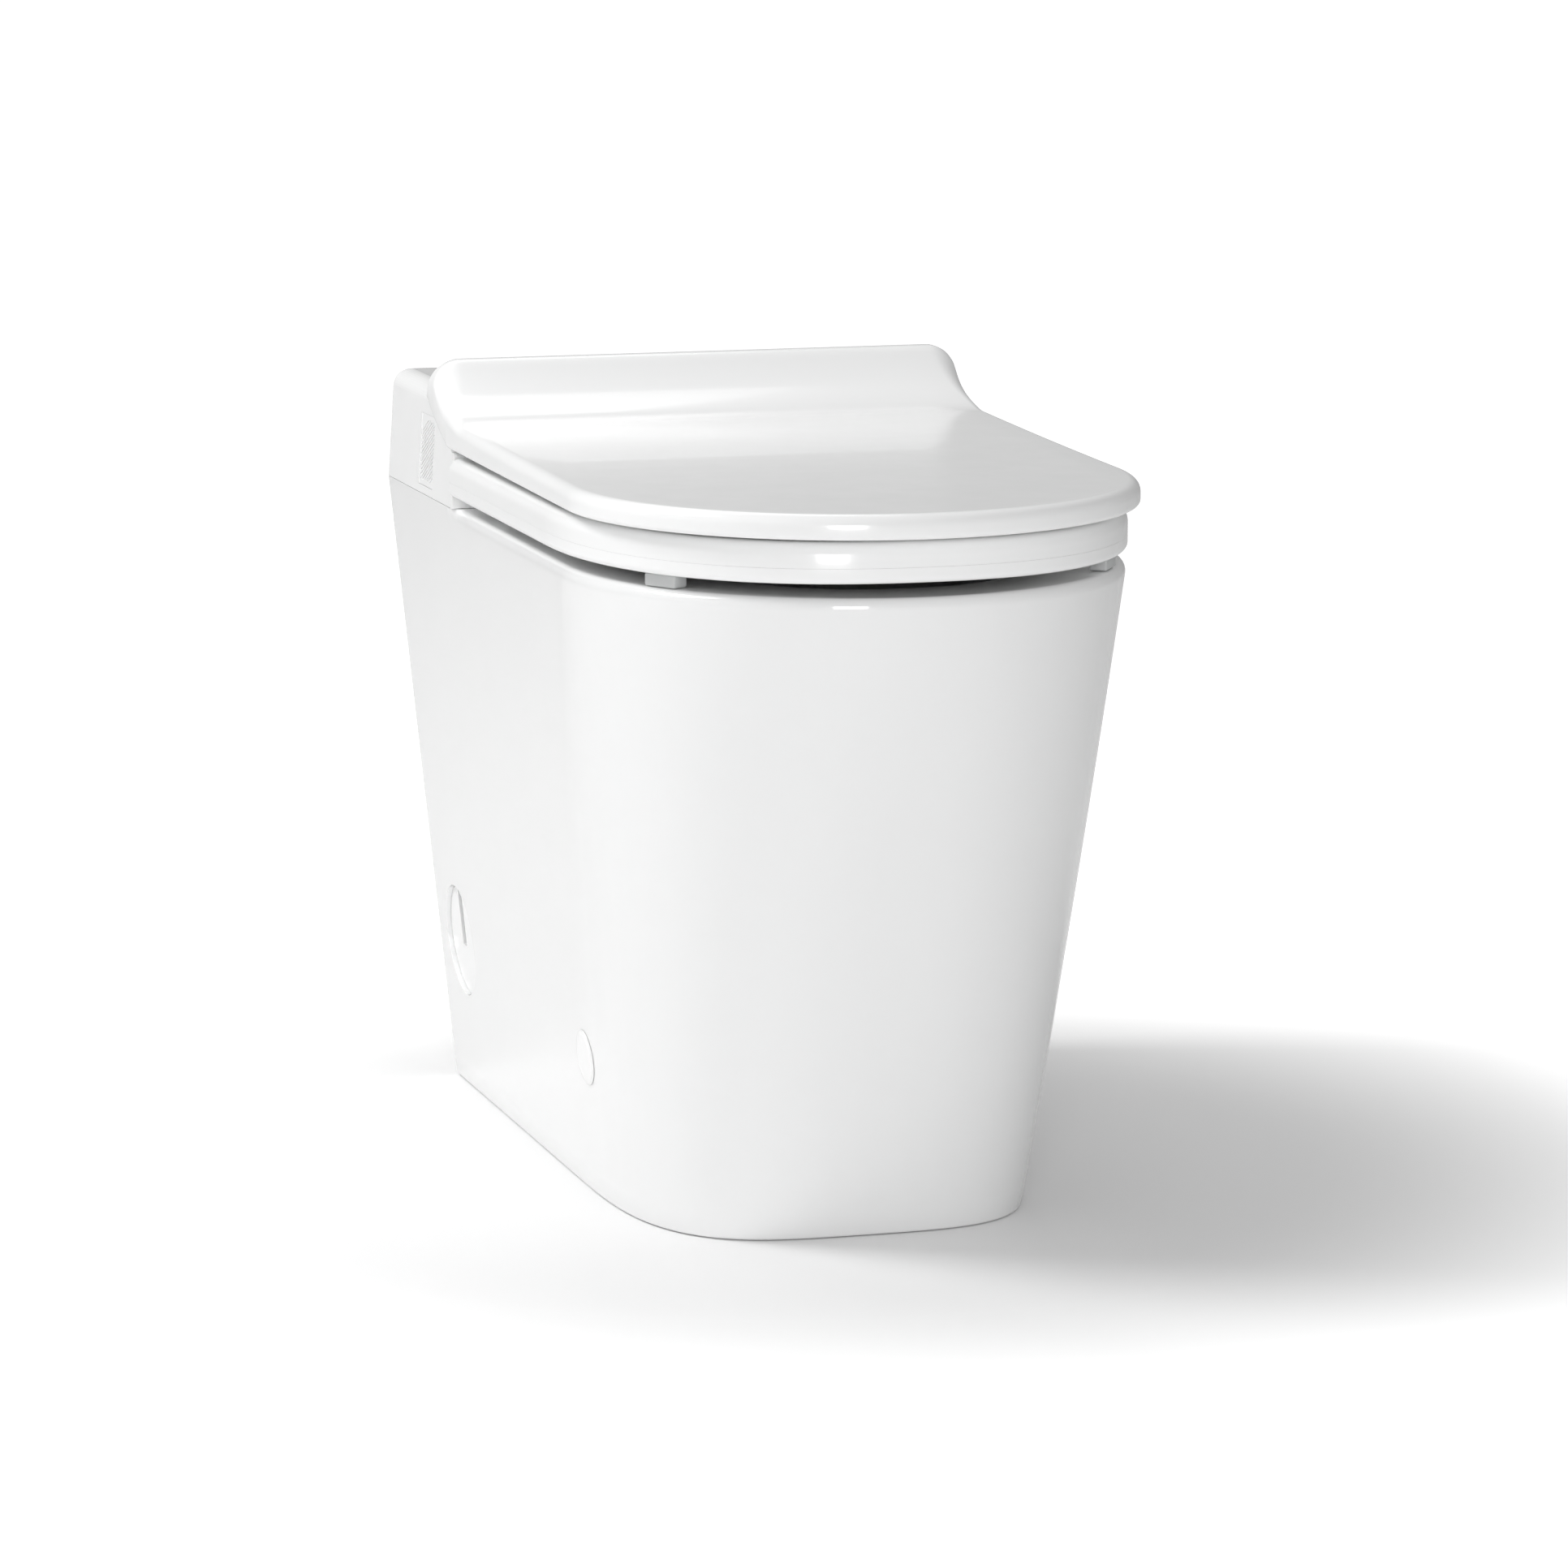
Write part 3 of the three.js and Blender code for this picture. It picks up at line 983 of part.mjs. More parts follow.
// Each shaft is held by the lid at both ends, turns in the housing's ear and carries the seat's arm.
function hingeShaft(name, side) {
  const span = [SEAT_ARM.inner - HINGE_SHAFT.engage, EAR.inner + EAR.width + HINGE_SHAFT.engage];
  piece(`hinge_shaft_${name}`, rod('x', HINGE_SHAFT.radius, span.map((x) => side * x), [HINGE_AXIS.y, HINGE_AXIS.z], 20),
    steel);
}

// ---------------------------------------------------------------- assembly

ceramicPedestal();
outletSeal();
flushWorks();
basePlate();
housingCover();
ventGrille();
controlPanel();
powerInlet();
waterInlet();
hoses();
controlBoard();
dryer();
dryerFlap();
deodoriser();
sensorWindow();
sprayWand();
wandGuide();
seat();
seatBumpers();
lid();
for (const [name, side] of SIDES) {
  accessCover(name, side);
  boltCap(name, side);
  floorFixing(name, side);
  mountingBolt(name, side);
  lidBumper(name, side);
  hingeShaft(name, side);
}

export default product;
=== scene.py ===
# %% [markdown]
# # A toilet with a built-in electric bidet seat
#
# The object is a skirted ceramic bowl with an electric seat set into it. Nearly everything that
# shows is glossy and white, so its quality is in its curves: long soft reflections that must run
# without a facet or a dent. The CAD model is a mesh of flat triangles. It holds every size and every
# hinge, and the large visible shells are modelled again here as fine, smooth surfaces in the same
# places. The inner units keep their CAD meshes and get real finishes.

import json
import math

import bmesh
import bpy
from mathutils import Matrix, Vector


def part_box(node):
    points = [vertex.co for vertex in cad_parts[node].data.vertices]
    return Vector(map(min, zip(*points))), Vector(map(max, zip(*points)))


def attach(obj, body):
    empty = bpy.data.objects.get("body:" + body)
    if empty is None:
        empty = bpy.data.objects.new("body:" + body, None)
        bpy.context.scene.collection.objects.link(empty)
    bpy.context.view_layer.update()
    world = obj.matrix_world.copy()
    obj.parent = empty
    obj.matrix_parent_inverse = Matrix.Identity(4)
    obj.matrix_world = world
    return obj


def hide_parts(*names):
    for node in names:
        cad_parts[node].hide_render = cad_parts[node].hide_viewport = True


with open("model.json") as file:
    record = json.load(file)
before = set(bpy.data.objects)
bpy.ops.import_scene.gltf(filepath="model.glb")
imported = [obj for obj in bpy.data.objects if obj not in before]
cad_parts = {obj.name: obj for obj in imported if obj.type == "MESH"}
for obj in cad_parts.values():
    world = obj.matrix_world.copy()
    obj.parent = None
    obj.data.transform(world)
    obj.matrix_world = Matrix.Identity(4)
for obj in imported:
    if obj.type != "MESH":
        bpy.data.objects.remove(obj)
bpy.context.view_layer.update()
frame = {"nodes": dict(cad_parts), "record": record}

# %% [markdown]
# ## Driving sizes
#
# Every place comes from the boxes of the CAD nodes, so the fine shells land exactly where the plain
# ones are. A few sizes that a box can't tell, such as the length of a rounded nose or the power of
# its curve, are the design's own values in metres.

# %% Places taken from the frame
MM = 0.001


def corners(node):
    low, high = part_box(node)
    return Vector(low), Vector(high)


_, ceramic_high = corners("ceramic_pedestal")
base_seat_low, _ = corners("seat_base")
lid_low, _ = corners("lid_shell")
shaft_low, shaft_high = corners("hinge_shaft_right")

HINGE_BEHIND_FACE = 54 * MM
SEAT_THICKNESS, LID_GAP = 26 * MM, 2.5 * MM
HOUSING_HEIGHT = 76 * MM
FIT = 0.3 * MM  # clearance between pieces that touch

REAR = ceramic_high.y
NOSE = lid_low.y
HALF = ceramic_high.x
RIM_HEIGHT = ceramic_high.z
HINGE = (shaft_low + shaft_high) / 2
FACE = HINGE.y - HINGE_BEHIND_FACE
SEAT_BOTTOM = base_seat_low.z
SEAT_TOP = SEAT_BOTTOM + SEAT_THICKNESS
LID_UNDER = SEAT_TOP + LID_GAP
HOUSING_TOP = RIM_HEIGHT + HOUSING_HEIGHT
print(f"wall {REAR:.3f}, nose {NOSE:.3f}, rim {RIM_HEIGHT:.3f}, seat {SEAT_TOP:.3f}")

# %% [markdown]
# ## A sheet wrapped onto a form
#
# A lid, a seat and a bowl are all one smooth skin that runs round an outline in one direction and
# across a section in the other. A polygon modeller would pull such a skin out of a flat grid. That is
# what this helper does: `create_grid` makes the quads, and every corner is carried to its place by a
# rule that takes the two directions as numbers from 0 to 1. Corners that land on each other are
# merged, which closes seams and poles.

# %% The wrapped sheet and the finished piece
def wrapped_sheet(columns, rows, place):
    form = bmesh.new()
    bmesh.ops.create_grid(form, x_segments=columns, y_segments=rows, size=0.5)
    for vert in form.verts:
        vert.co = place(vert.co.x + 0.5, vert.co.y + 0.5)
    bmesh.ops.remove_doubles(form, verts=form.verts, dist=2e-6)
    return form


def outward(form):
    form.normal_update()
    bmesh.ops.recalc_face_normals(form, faces=form.faces)


def finished(name, form, body, look, stands_for=(), smooth=35):
    mesh = bpy.data.meshes.new(name)
    form.to_mesh(mesh)
    form.free()
    piece = bpy.data.objects.new(name, mesh)
    bpy.context.collection.objects.link(piece)
    mesh.materials.append(look)
    mesh.shade_smooth()
    mesh.set_sharp_from_angle(angle=math.radians(smooth))
    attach(piece, body)
    if stands_for:
        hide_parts(*stands_for)
    print(f"{name}: {len(mesh.polygons)} faces")
    return piece


def mix(low, high, t):
    return low + (high - low) * t


def clamp01(t):
    return max(0.0, min(1.0, t))


def smooth01(t):
    t = clamp01(t)
    return t * t * (3 - 2 * t)


def on_side(side, inner, outer):
    """The x range between two distances from the middle, on one side (-1 or 1)."""
    return sorted((side * inner, side * outer))


# %% [markdown]
# ## Cutting openings
#
# A moulded shell has openings with crisp but never razor-sharp edges. Each opening is cut with a
# Boolean from a closed cutter, which is applied and thrown away at once, and then one Bevel modifier
# breaks every sharp edge of the shell, as a polished mould does.

# %% Cutters
def cutter_block(low, high, bevel=0.0):
    form = bmesh.new()
    bmesh.ops.create_cube(form, size=1.0)
    centre = (Vector(low) + Vector(high)) / 2
    bmesh.ops.scale(form, vec=Vector(high) - Vector(low), verts=form.verts)
    bmesh.ops.translate(form, vec=centre, verts=form.verts)
    if bevel:
        bmesh.ops.bevel(form, geom=form.edges[:], offset=bevel, segments=4, affect="EDGES",
                        profile=0.5, material=-1, clamp_overlap=True)
    return form


def cutter_rod(start, end, radius, sides=64):
    start, end = Vector(start), Vector(end)
    form = bmesh.new()
    bmesh.ops.create_cone(form, cap_ends=True, segments=sides, radius1=radius, radius2=radius,
                          depth=(end - start).length)
    turn = (end - start).to_track_quat("Z", "Y").to_matrix().to_4x4()
    bmesh.ops.transform(form, matrix=Matrix.Translation((start + end) / 2) @ turn, verts=form.verts)
    return form


def cut(piece, forms, operation="DIFFERENCE"):
    for form in forms:
        mesh = bpy.data.meshes.new("cutter")
        form.to_mesh(mesh)
        form.free()
        cutter = bpy.data.objects.new("cutter", mesh)
        bpy.context.collection.objects.link(cutter)
        step = piece.modifiers.new("opening", "BOOLEAN")
        step.operation = operation
        step.solver = "EXACT"
        step.object = cutter
        apply_modifiers(piece)
        bpy.data.objects.remove(cutter)
        bpy.data.meshes.remove(mesh)


def apply_modifiers(piece):
    graph = bpy.context.evaluated_depsgraph_get()
    fresh = bpy.data.meshes.new_from_object(piece.evaluated_get(graph), depsgraph=graph)
    piece.modifiers.clear()
    old, piece.data = piece.data, fresh
    bpy.data.meshes.remove(old)
    fresh.name = piece.name


def soft_edges(piece, width, angle=38, segments=3):
    step = piece.modifiers.new("soft edges", "BEVEL")
    step.width = width
    step.segments = segments
    step.limit_method = "ANGLE"
    step.angle_limit = math.radians(angle)
    step.harden_normals = True


# %% [markdown]
# ## Shared shader effects
#
# Three effects come back in many finishes, so each is a node group with named inputs. The first is
# the slow wave that a fired glaze or a large moulding always has: it is far too shallow to see as
# shape, but it makes long reflections breathe. The second is a fine grain, for the tooth of textured
# plastic and the skin of rubber. The third is the direction that brushing leaves on metal.

# %% Shader groups
def shader_group(name, inputs, outputs):
    group = bpy.data.node_groups.new(name, "ShaderNodeTree")
    for label, value in inputs:
        socket = group.interface.new_socket(label, in_out="INPUT", socket_type="NodeSocketFloat")
        socket.default_value = value
    for label in outputs:
        group.interface.new_socket(label, in_out="OUTPUT", socket_type="NodeSocketFloat")
    return group, group.nodes.new("NodeGroupInput"), group.nodes.new("NodeGroupOutput")


def scaled_noise(group, entry, scale_socket, detail, stretch=(1, 1, 1)):
    place = group.nodes.new("ShaderNodeTexCoord")
    turn = group.nodes.new("ShaderNodeMapping")
    turn.inputs["Scale"].default_value = stretch
    noise = group.nodes.new("ShaderNodeTexNoise")
    noise.inputs["Detail"].default_value = detail
    group.links.new(place.outputs["Object"], turn.inputs["Vector"])
    group.links.new(turn.outputs["Vector"], noise.inputs["Vector"])
    group.links.new(entry.outputs[scale_socket], noise.inputs["Scale"])
    return noise.outputs["Fac"]


def ranged(group, fac, entry, result, quantity):
    """Sends a factor to an output, stretched between the low and the high input of its name."""
    reach = group.nodes.new("ShaderNodeMapRange")
    group.links.new(fac, reach.inputs["Value"])
    group.links.new(entry.outputs[quantity + " Low"], reach.inputs["To Min"])
    group.links.new(entry.outputs[quantity + " High"], reach.inputs["To Max"])
    group.links.new(reach.outputs["Result"], result.inputs[quantity])


def make_slow_wave():
    group, entry, result = shader_group(
        "slow_wave", [("Wave Scale", 6.0), ("Smear Scale", 30.0), ("Roughness Low", 0.05),
                      ("Roughness High", 0.1)], ["Height", "Roughness"])
    wave = scaled_noise(group, entry, "Wave Scale", 1.0)
    smear = scaled_noise(group, entry, "Smear Scale", 3.0)
    group.links.new(wave, result.inputs["Height"])
    ranged(group, smear, entry, result, "Roughness")
    return group


def make_fine_grain():
    group, entry, result = shader_group(
        "fine_grain", [("Grain Scale", 1500.0), ("Cloud Scale", 25.0), ("Roughness Low", 0.4),
                       ("Roughness High", 0.55), ("Shade Low", 0.92), ("Shade High", 1.0)],
        ["Height", "Roughness", "Shade"])
    grain = scaled_noise(group, entry, "Grain Scale", 2.0)
    cloud = scaled_noise(group, entry, "Cloud Scale", 4.0)
    group.links.new(grain, result.inputs["Height"])
    ranged(group, cloud, entry, result, "Roughness")
    ranged(group, cloud, entry, result, "Shade")
    return group


def make_brushing():
    group, entry, result = shader_group(
        "brushing", [("Line Scale", 400.0), ("Roughness Low", 0.22), ("Roughness High", 0.4),
                     ("Shade Low", 0.85), ("Shade High", 1.0)], ["Height", "Roughness", "Shade"])
    lines = scaled_noise(group, entry, "Line Scale", 2.0, stretch=(0.04, 1, 1))
    group.links.new(lines, result.inputs["Height"])
    ranged(group, lines, entry, result, "Roughness")
    ranged(group, lines, entry, result, "Shade")
    return group


SLOW_WAVE = make_slow_wave()
FINE_GRAIN = make_fine_grain()
BRUSHING = make_brushing()


# %% [markdown]
# ## Finishes
#
# The bowl is vitreous china: a neutral white body under a clear glaze, which is a hard, very smooth
# layer of glass. A coat on the shader stands for the glaze. The seat, lid and housing are polished
# white plastic, a touch lighter and a little less sharp in reflection. Each finish is built by one
# short function, so that its values can be read in one place.

# %% Finish helpers
def new_finish(name, colour, roughness, metallic=0.0, coat=0.0):
    look = bpy.data.materials.new(name)
    look.use_nodes = True
    shader = look.node_tree.nodes["Principled BSDF"]
    shader.inputs["Base Color"].default_value = (*colour, 1)
    shader.inputs["Roughness"].default_value = roughness
    shader.inputs["Metallic"].default_value = metallic
    shader.inputs["Coat Weight"].default_value = coat
    shader.inputs["Coat Roughness"].default_value = 0.03
    shader.inputs["IOR"].default_value = 1.5
    return look, shader


def place_effect(look, shader, effect, values, strength, distance):
    tree = look.node_tree
    node = tree.nodes.new("ShaderNodeGroup")
    node.node_tree = effect
    for label, value in values.items():
        node.inputs[label].default_value = value
    bump = tree.nodes.new("ShaderNodeBump")
    bump.inputs["Strength"].default_value = strength
    bump.inputs["Distance"].default_value = distance
    tree.links.new(node.outputs["Height"], bump.inputs["Height"])
    tree.links.new(bump.outputs["Normal"], shader.inputs["Normal"])
    tree.links.new(node.outputs["Roughness"], shader.inputs["Roughness"])
    return node


def shade_colour(look, shader, node, colour):
    tree = look.node_tree
    tint = tree.nodes.new("ShaderNodeMix")
    tint.data_type = "RGBA"
    tint.blend_type = "MIX"
    tint.inputs["A"].default_value = (*[c * 0.75 for c in colour], 1)
    tint.inputs["B"].default_value = (*colour, 1)
    tree.links.new(node.outputs["Shade"], tint.inputs["Factor"])
    tree.links.new(tint.outputs["Result"], shader.inputs["Base Color"])


def glazed_china():
    look, shader = new_finish("glazed_china", (0.912, 0.915, 0.915), 0.1, coat=0.6)
    values = {"Wave Scale": 7.0, "Smear Scale": 18.0, "Roughness Low": 0.07, "Roughness High": 0.13}
    place_effect(look, shader, SLOW_WAVE, values, 0.12, 0.004)
    return look


def polished_white():
    look, shader = new_finish("polished_white", (0.955, 0.958, 0.957), 0.16, coat=0.25)
    values = {"Wave Scale": 11.0, "Smear Scale": 40.0, "Roughness Low": 0.13, "Roughness High": 0.19}
    place_effect(look, shader, SLOW_WAVE, values, 0.05, 0.002)
    return look


def grained(name, colour, low, high, grain=1500.0, strength=0.25, distance=0.0001):
    look, shader = new_finish(name, colour, low)
    values = {"Grain Scale": grain, "Roughness Low": low, "Roughness High": high}
    node = place_effect(look, shader, FINE_GRAIN, values, strength, distance)
    shade_colour(look, shader, node, colour)
    return look


def brushed(name, colour, low=0.2, high=0.38, lines=400.0):
    look, shader = new_finish(name, colour, low, metallic=1.0)
    values = {"Line Scale": lines, "Roughness Low": low, "Roughness High": high}
    node = place_effect(look, shader, BRUSHING, values, 0.2, 0.00005)
    shade_colour(look, shader, node, colour)
    return look


# %% The finishes
CHINA = glazed_china()
WHITE = polished_white()
SATIN_WHITE = grained("satin_white", (0.83, 0.84, 0.84), 0.28, 0.36, strength=0.12)
GREY_MOULDING = grained("grey_moulding", (0.28, 0.30, 0.31), 0.42, 0.56)
PANEL_GREY = grained("panel_grey", (0.38, 0.40, 0.41), 0.3, 0.4, strength=0.15)
NOZZLE_GREY = grained("nozzle_grey", (0.34, 0.36, 0.37), 0.35, 0.45)
BLACK_MOULDING = grained("black_moulding", (0.03, 0.03, 0.034), 0.4, 0.55)
PAD_RUBBER = grained("pad_rubber", (0.55, 0.56, 0.56), 0.6, 0.78, grain=900.0, strength=0.35)
STAINLESS = brushed("stainless_steel", (0.62, 0.63, 0.65))
BUTTON_METAL = brushed("button_metal", (0.72, 0.73, 0.75), 0.16, 0.26, lines=900.0)
BRASS = brushed("machined_brass", (0.78, 0.56, 0.26), 0.18, 0.32)
COPPER = brushed("heating_copper", (0.72, 0.36, 0.2), 0.25, 0.42)
SILICONE = grained("silicone_tube", (0.72, 0.75, 0.75), 0.3, 0.45, grain=600.0, strength=0.1)
CARBON = grained("carbon_block", (0.03, 0.03, 0.032), 0.75, 0.95, grain=500.0, strength=0.8,
                 distance=0.0005)
BOARD = grained("board_lacquer", (0.02, 0.13, 0.055), 0.25, 0.4, grain=700.0, strength=0.2)
SMOKED, smoked_shader = new_finish("smoked_window", (0.012, 0.012, 0.015), 0.06, coat=0.5)
smoked_values = {"Roughness Low": 0.04, "Roughness High": 0.09}
place_effect(SMOKED, smoked_shader, SLOW_WAVE, smoked_values, 0.03, 0.001)

FINISH_OF_SLOT = {
    "glazed_ceramic": CHINA, "white_plastic": WHITE, "inner_plastic": SATIN_WHITE,
    "grey_plastic": GREY_MOULDING, "panel_grey": PANEL_GREY, "nozzle_grey": NOZZLE_GREY,
    "black_plastic": BLACK_MOULDING, "rubber": PAD_RUBBER, "steel": STAINLESS,
    "button_steel": BUTTON_METAL, "brass": BRASS, "silicone_hose": SILICONE,
    "circuit_board": BOARD, "copper": COPPER, "carbon_filter": CARBON, "smoked_window": SMOKED,
}
SLOT_OF_NODE = {entry["node"]: entry["material_slot"] for entry in frame["record"]["subparts"]}
for node_name, node_object in frame["nodes"].items():
    node_object.data.materials.clear()
    node_object.data.materials.append(FINISH_OF_SLOT[SLOT_OF_NODE[node_name]])
print(f"{len(FINISH_OF_SLOT)} finishes on {len(frame['nodes'])} CAD nodes")

# %% [markdown]
# ## The plan outline
#
# Seen from above, every big part has the same family of outline: straight sides from a flat rear,
# closed by a nose that is a superellipse. A power of 2 gives a plain ellipse, as on the rim, and a
# higher power gives the squarer foot. A slab is one skin round such an outline. Its section is a list
# of stations, each a distance in from the edge, a height, and how far the skin is drawn to the middle
# line, so that a station drawn all the way closes the top or the underside.

# %% Outline of straight sides and a nose
def inward(across, forward, half, nose, power):
    slope_x = (across / half) ** (power - 1) / half
    slope_y = (forward / nose) ** (power - 1) / nose
    size = math.hypot(slope_x, slope_y)
    return -slope_x / size, slope_y / size


def side_outline(t, half, rear, front, nose, power, inset=0.0, straight=0.4, ease=1.0):
    """Right side, from the rear corner (t 0) to the tip of the nose (t 1), set in by a distance."""
    centre = front + nose
    if t <= straight:
        return half - inset, mix(rear, centre, (t / straight) ** ease)
    angle = (t - straight) / (1 - straight) * math.pi / 2
    c, s = max(math.cos(angle), 0.0), math.sin(angle)
    reach = (c**power + s**power) ** (-1 / power)
    across, forward = half * c * reach, nose * s * reach
    in_x, in_y = inward(max(across, 1e-9), forward, half, nose, power)
    return max(across + in_x * inset, 0.0), centre - forward + in_y * inset


def both_sides(u, **shape):
    """The whole outline: u runs from the right rear corner, round the nose, to the left one."""
    x, y = side_outline(1 - abs(2 * u - 1), **shape)
    return (x, y) if u <= 0.5 else (-x, y)


def slab(columns, shape, stations):
    """A closed skin. A station is (inset, height, drawn), where inset and height may depend on y."""
    def place(u, v):
        inset, height, drawn = stations[round(v * (len(stations) - 1))]
        here = shape(height(0)) if callable(shape) else shape
        if callable(inset):
            inset = inset(both_sides(u, **here)[1])
        x, y = both_sides(u, inset=inset, **here)
        return Vector((x * (1 - drawn), y, height(y)))

    form = wrapped_sheet(columns, len(stations) - 1, place)
    close_openings(form)
    outward(form)
    return form


def close_openings(form):
    open_edges = [edge for edge in form.edges if edge.is_boundary]
    bmesh.ops.holes_fill(form, edges=open_edges, sides=0)


def drawn_to_middle(inset, height, steps=6):
    """Stations of a flat top or underside, from the middle line out to the edge."""
    return [(inset, height, 1 - i / steps) for i in range(steps)]


def level(height):
    return lambda _: height


def quarter(steps):
    """Angles of a quarter turn, without its start."""
    return [math.pi / 2 * (i + 1) / steps for i in range(steps)]


# %% [markdown]
# ## Forms from side views and rings
#
# The housing, the arms and the vent are drawn in a view and pushed through, so a second helper takes
# an outline, fills it and extrudes it. The bowl and the hole of the seat are stacks of ovals, so a
# third helper wraps a sheet round a stack.

# %% Pushed-through outlines, stacks of ovals and tubes
def pushed(outline, axis, low, high):
    """An outline in the other two axes, extruded from low to high along axis 0, 1 or 2."""
    form = bmesh.new()
    others = [i for i in range(3) if i != axis]
    for point in outline:
        place = [low, low, low]
        place[others[0]], place[others[1]] = point
        form.verts.new(place)
    face = form.faces.new(form.verts)
    swept = bmesh.ops.extrude_face_region(form, geom=[face])
    moved = [item for item in swept["geom"] if isinstance(item, bmesh.types.BMVert)]
    push = [0.0, 0.0, 0.0]
    push[axis] = high - low
    bmesh.ops.translate(form, vec=push, verts=moved)
    outward(form)
    return form


def arc_points(centre, radius, start, end, steps):
    turns = [math.radians(mix(start, end, i / steps)) for i in range(steps + 1)]
    return [(centre[0] + radius * math.cos(a), centre[1] + radius * math.sin(a)) for a in turns]


def oval_stack(columns, levels, power=2.3):
    """Levels are (z, half width, front, rear), closed at both ends."""
    def place(u, v):
        z, half, front, rear = levels[round(v * (len(levels) - 1))]
        angle = u * 2 * math.pi
        across = math.copysign(abs(math.sin(angle)) ** (2 / power), math.sin(angle))
        along = math.copysign(abs(math.cos(angle)) ** (2 / power), math.cos(angle))
        return Vector((half * across, (front + rear) / 2 + (rear - front) / 2 * along, z))

    form = wrapped_sheet(columns, len(levels) - 1, place)
    close_openings(form)
    outward(form)
    return form


def tube(points, radius, steps, columns=32):
    """A tube in the middle plane, along a smooth line through (y, z) points."""
    def along(t):
        s = min(t * (len(points) - 1), len(points) - 1 - 1e-9)
        i = int(s)
        p = [Vector(points[min(max(i + k, 0), len(points) - 1)]) for k in (-1, 0, 1, 2)]
        s -= i
        return 0.5 * (2 * p[1] + (p[2] - p[0]) * s + (2 * p[0] - 5 * p[1] + 4 * p[2] - p[3]) * s**2
                      + (3 * p[1] - p[0] - 3 * p[2] + p[3]) * s**3)

    def place(u, v):
        middle, ahead = along(v), along(min(v + 0.01, 1)) - along(max(v - 0.01, 0))
        ahead.normalize()
        side, lift = math.cos(u * 2 * math.pi), math.sin(u * 2 * math.pi)
        return Vector((radius * side, middle.x - ahead.y * radius * lift,
                       middle.y + ahead.x * radius * lift))

    form = wrapped_sheet(columns, steps, place)
    close_openings(form)
    outward(form)
    return form


def turned(profile, axis_from, axis_to, columns=48):
    """A turned form: profile holds (distance along the axis, radius), closed at both ends."""
    start, way = Vector(axis_from), (Vector(axis_to) - Vector(axis_from)).normalized()
    side = way.orthogonal().normalized()
    lift = way.cross(side)

    def place(u, v):
        along, radius = profile[round(v * (len(profile) - 1))]
        angle = u * 2 * math.pi
        return start + way * along + (side * math.cos(angle) + lift * math.sin(angle)) * radius

    form = wrapped_sheet(columns, len(profile) - 1, place)
    close_openings(form)
    outward(form)
    return form


def joined_form(forms):
    whole = bmesh.new()
    for form in forms:
        mesh = bpy.data.meshes.new("part")
        form.to_mesh(mesh)
        form.free()
        whole.from_mesh(mesh)
        bpy.data.meshes.remove(mesh)
    return whole


# %% [markdown]
# ## The lid
#
# The lid is a hollow moulding 16 mm thick. It lies flat over the seat, sweeps up in a hollow curve
# and ends in a rounded crest over the hinge. One slab makes its outside. The edge starts with an 8 mm
# radius and grows to 20 mm at the crest, which gives the broad highlight on the corners. The rear is
# cut by a leaning plane and closed, and a thin panel closes the hollow from below.

# %% Heights of the lid
SWEEP_START = HINGE.y - 92 * MM
CREST_Y, CREST_Z, CREST_R = HINGE.y - 8.1 * MM, HINGE.z + 8.9 * MM, 8 * MM
LID_THICKNESS, LID_WALL, LID_LOW_EDGE = 16 * MM, 3 * MM, 3 * MM


def lid_under(y):
    climb = max(y - (FACE + 10 * MM), 0)
    step = 1.5 * MM * smooth01(climb / (2 * MM))
    return LID_UNDER + 0.0065 * (y - NOSE) + 0.33 * climb + 2.8 * climb**2 + step


def lid_crown(y):
    return LID_UNDER + LID_THICKNESS + 5.6 * MM * ((y - NOSE) / 0.45) ** 2


def lid_top(y):
    if y <= SWEEP_START:
        return lid_crown(y)
    run, climb = CREST_Y - SWEEP_START, CREST_Z - lid_crown(SWEEP_START)
    sweep = (run**2 + climb**2 - CREST_R**2) / (2 * (climb + CREST_R))
    if y < SWEEP_START + run * sweep / (sweep + CREST_R):
        return lid_crown(SWEEP_START) + sweep - math.sqrt(sweep**2 - (y - SWEEP_START) ** 2)
    return CREST_Z + math.sqrt(max(CREST_R**2 - min(y - CREST_Y, 0) ** 2, 0))


def lid_edge(y):
    return mix(8 * MM, 20 * MM, smooth01((y - SWEEP_START - 20 * MM) / (CREST_Y - SWEEP_START - 20 * MM)))


# %% Lid shell and inner panel
LID_SHAPE = dict(half=HALF + 2 * MM, rear=HINGE.y + 14 * MM, front=NOSE, nose=184 * MM, power=2.0,
                 straight=0.6, ease=1.7)


def lid_stations():
    low = LID_LOW_EDGE
    stations = drawn_to_middle(low, lid_under)
    stations += [(low, lid_under, 0)]
    for a in quarter(5):
        stations.append((low * (1 - math.sin(a)),
                         lambda y, a=a: lid_under(y) + low * (1 - math.cos(a)), 0))
    for i in range(13):
        a = math.pi / 2 * i / 12
        stations.append((lambda y, a=a: lid_edge(y) * (1 - math.cos(a)),
                         lambda y, a=a: lid_top(y) - lid_edge(y) * (1 - math.sin(a)), 0))
    return stations + [(inset, height, drawn) for inset, height, drawn in
                       reversed(drawn_to_middle(lid_edge, lid_top, 8))]


def hollow_roof(y):
    """Sinks where the edge grows round, so that the hollow's corner stays inside it."""
    return lid_top(y) - LID_WALL - 2 * MM - 0.35 * (lid_edge(y) - 8 * MM)


def lid_hollow(inset, low, high, rear):
    stations = drawn_to_middle(inset, low) + [(inset, low, 0), (inset, high, 0)]
    stations += list(reversed(drawn_to_middle(inset + 3 * MM, high)))
    return cut_plane(slab(160, LID_SHAPE, stations), (0, rear, 0), (0, 1, 0))


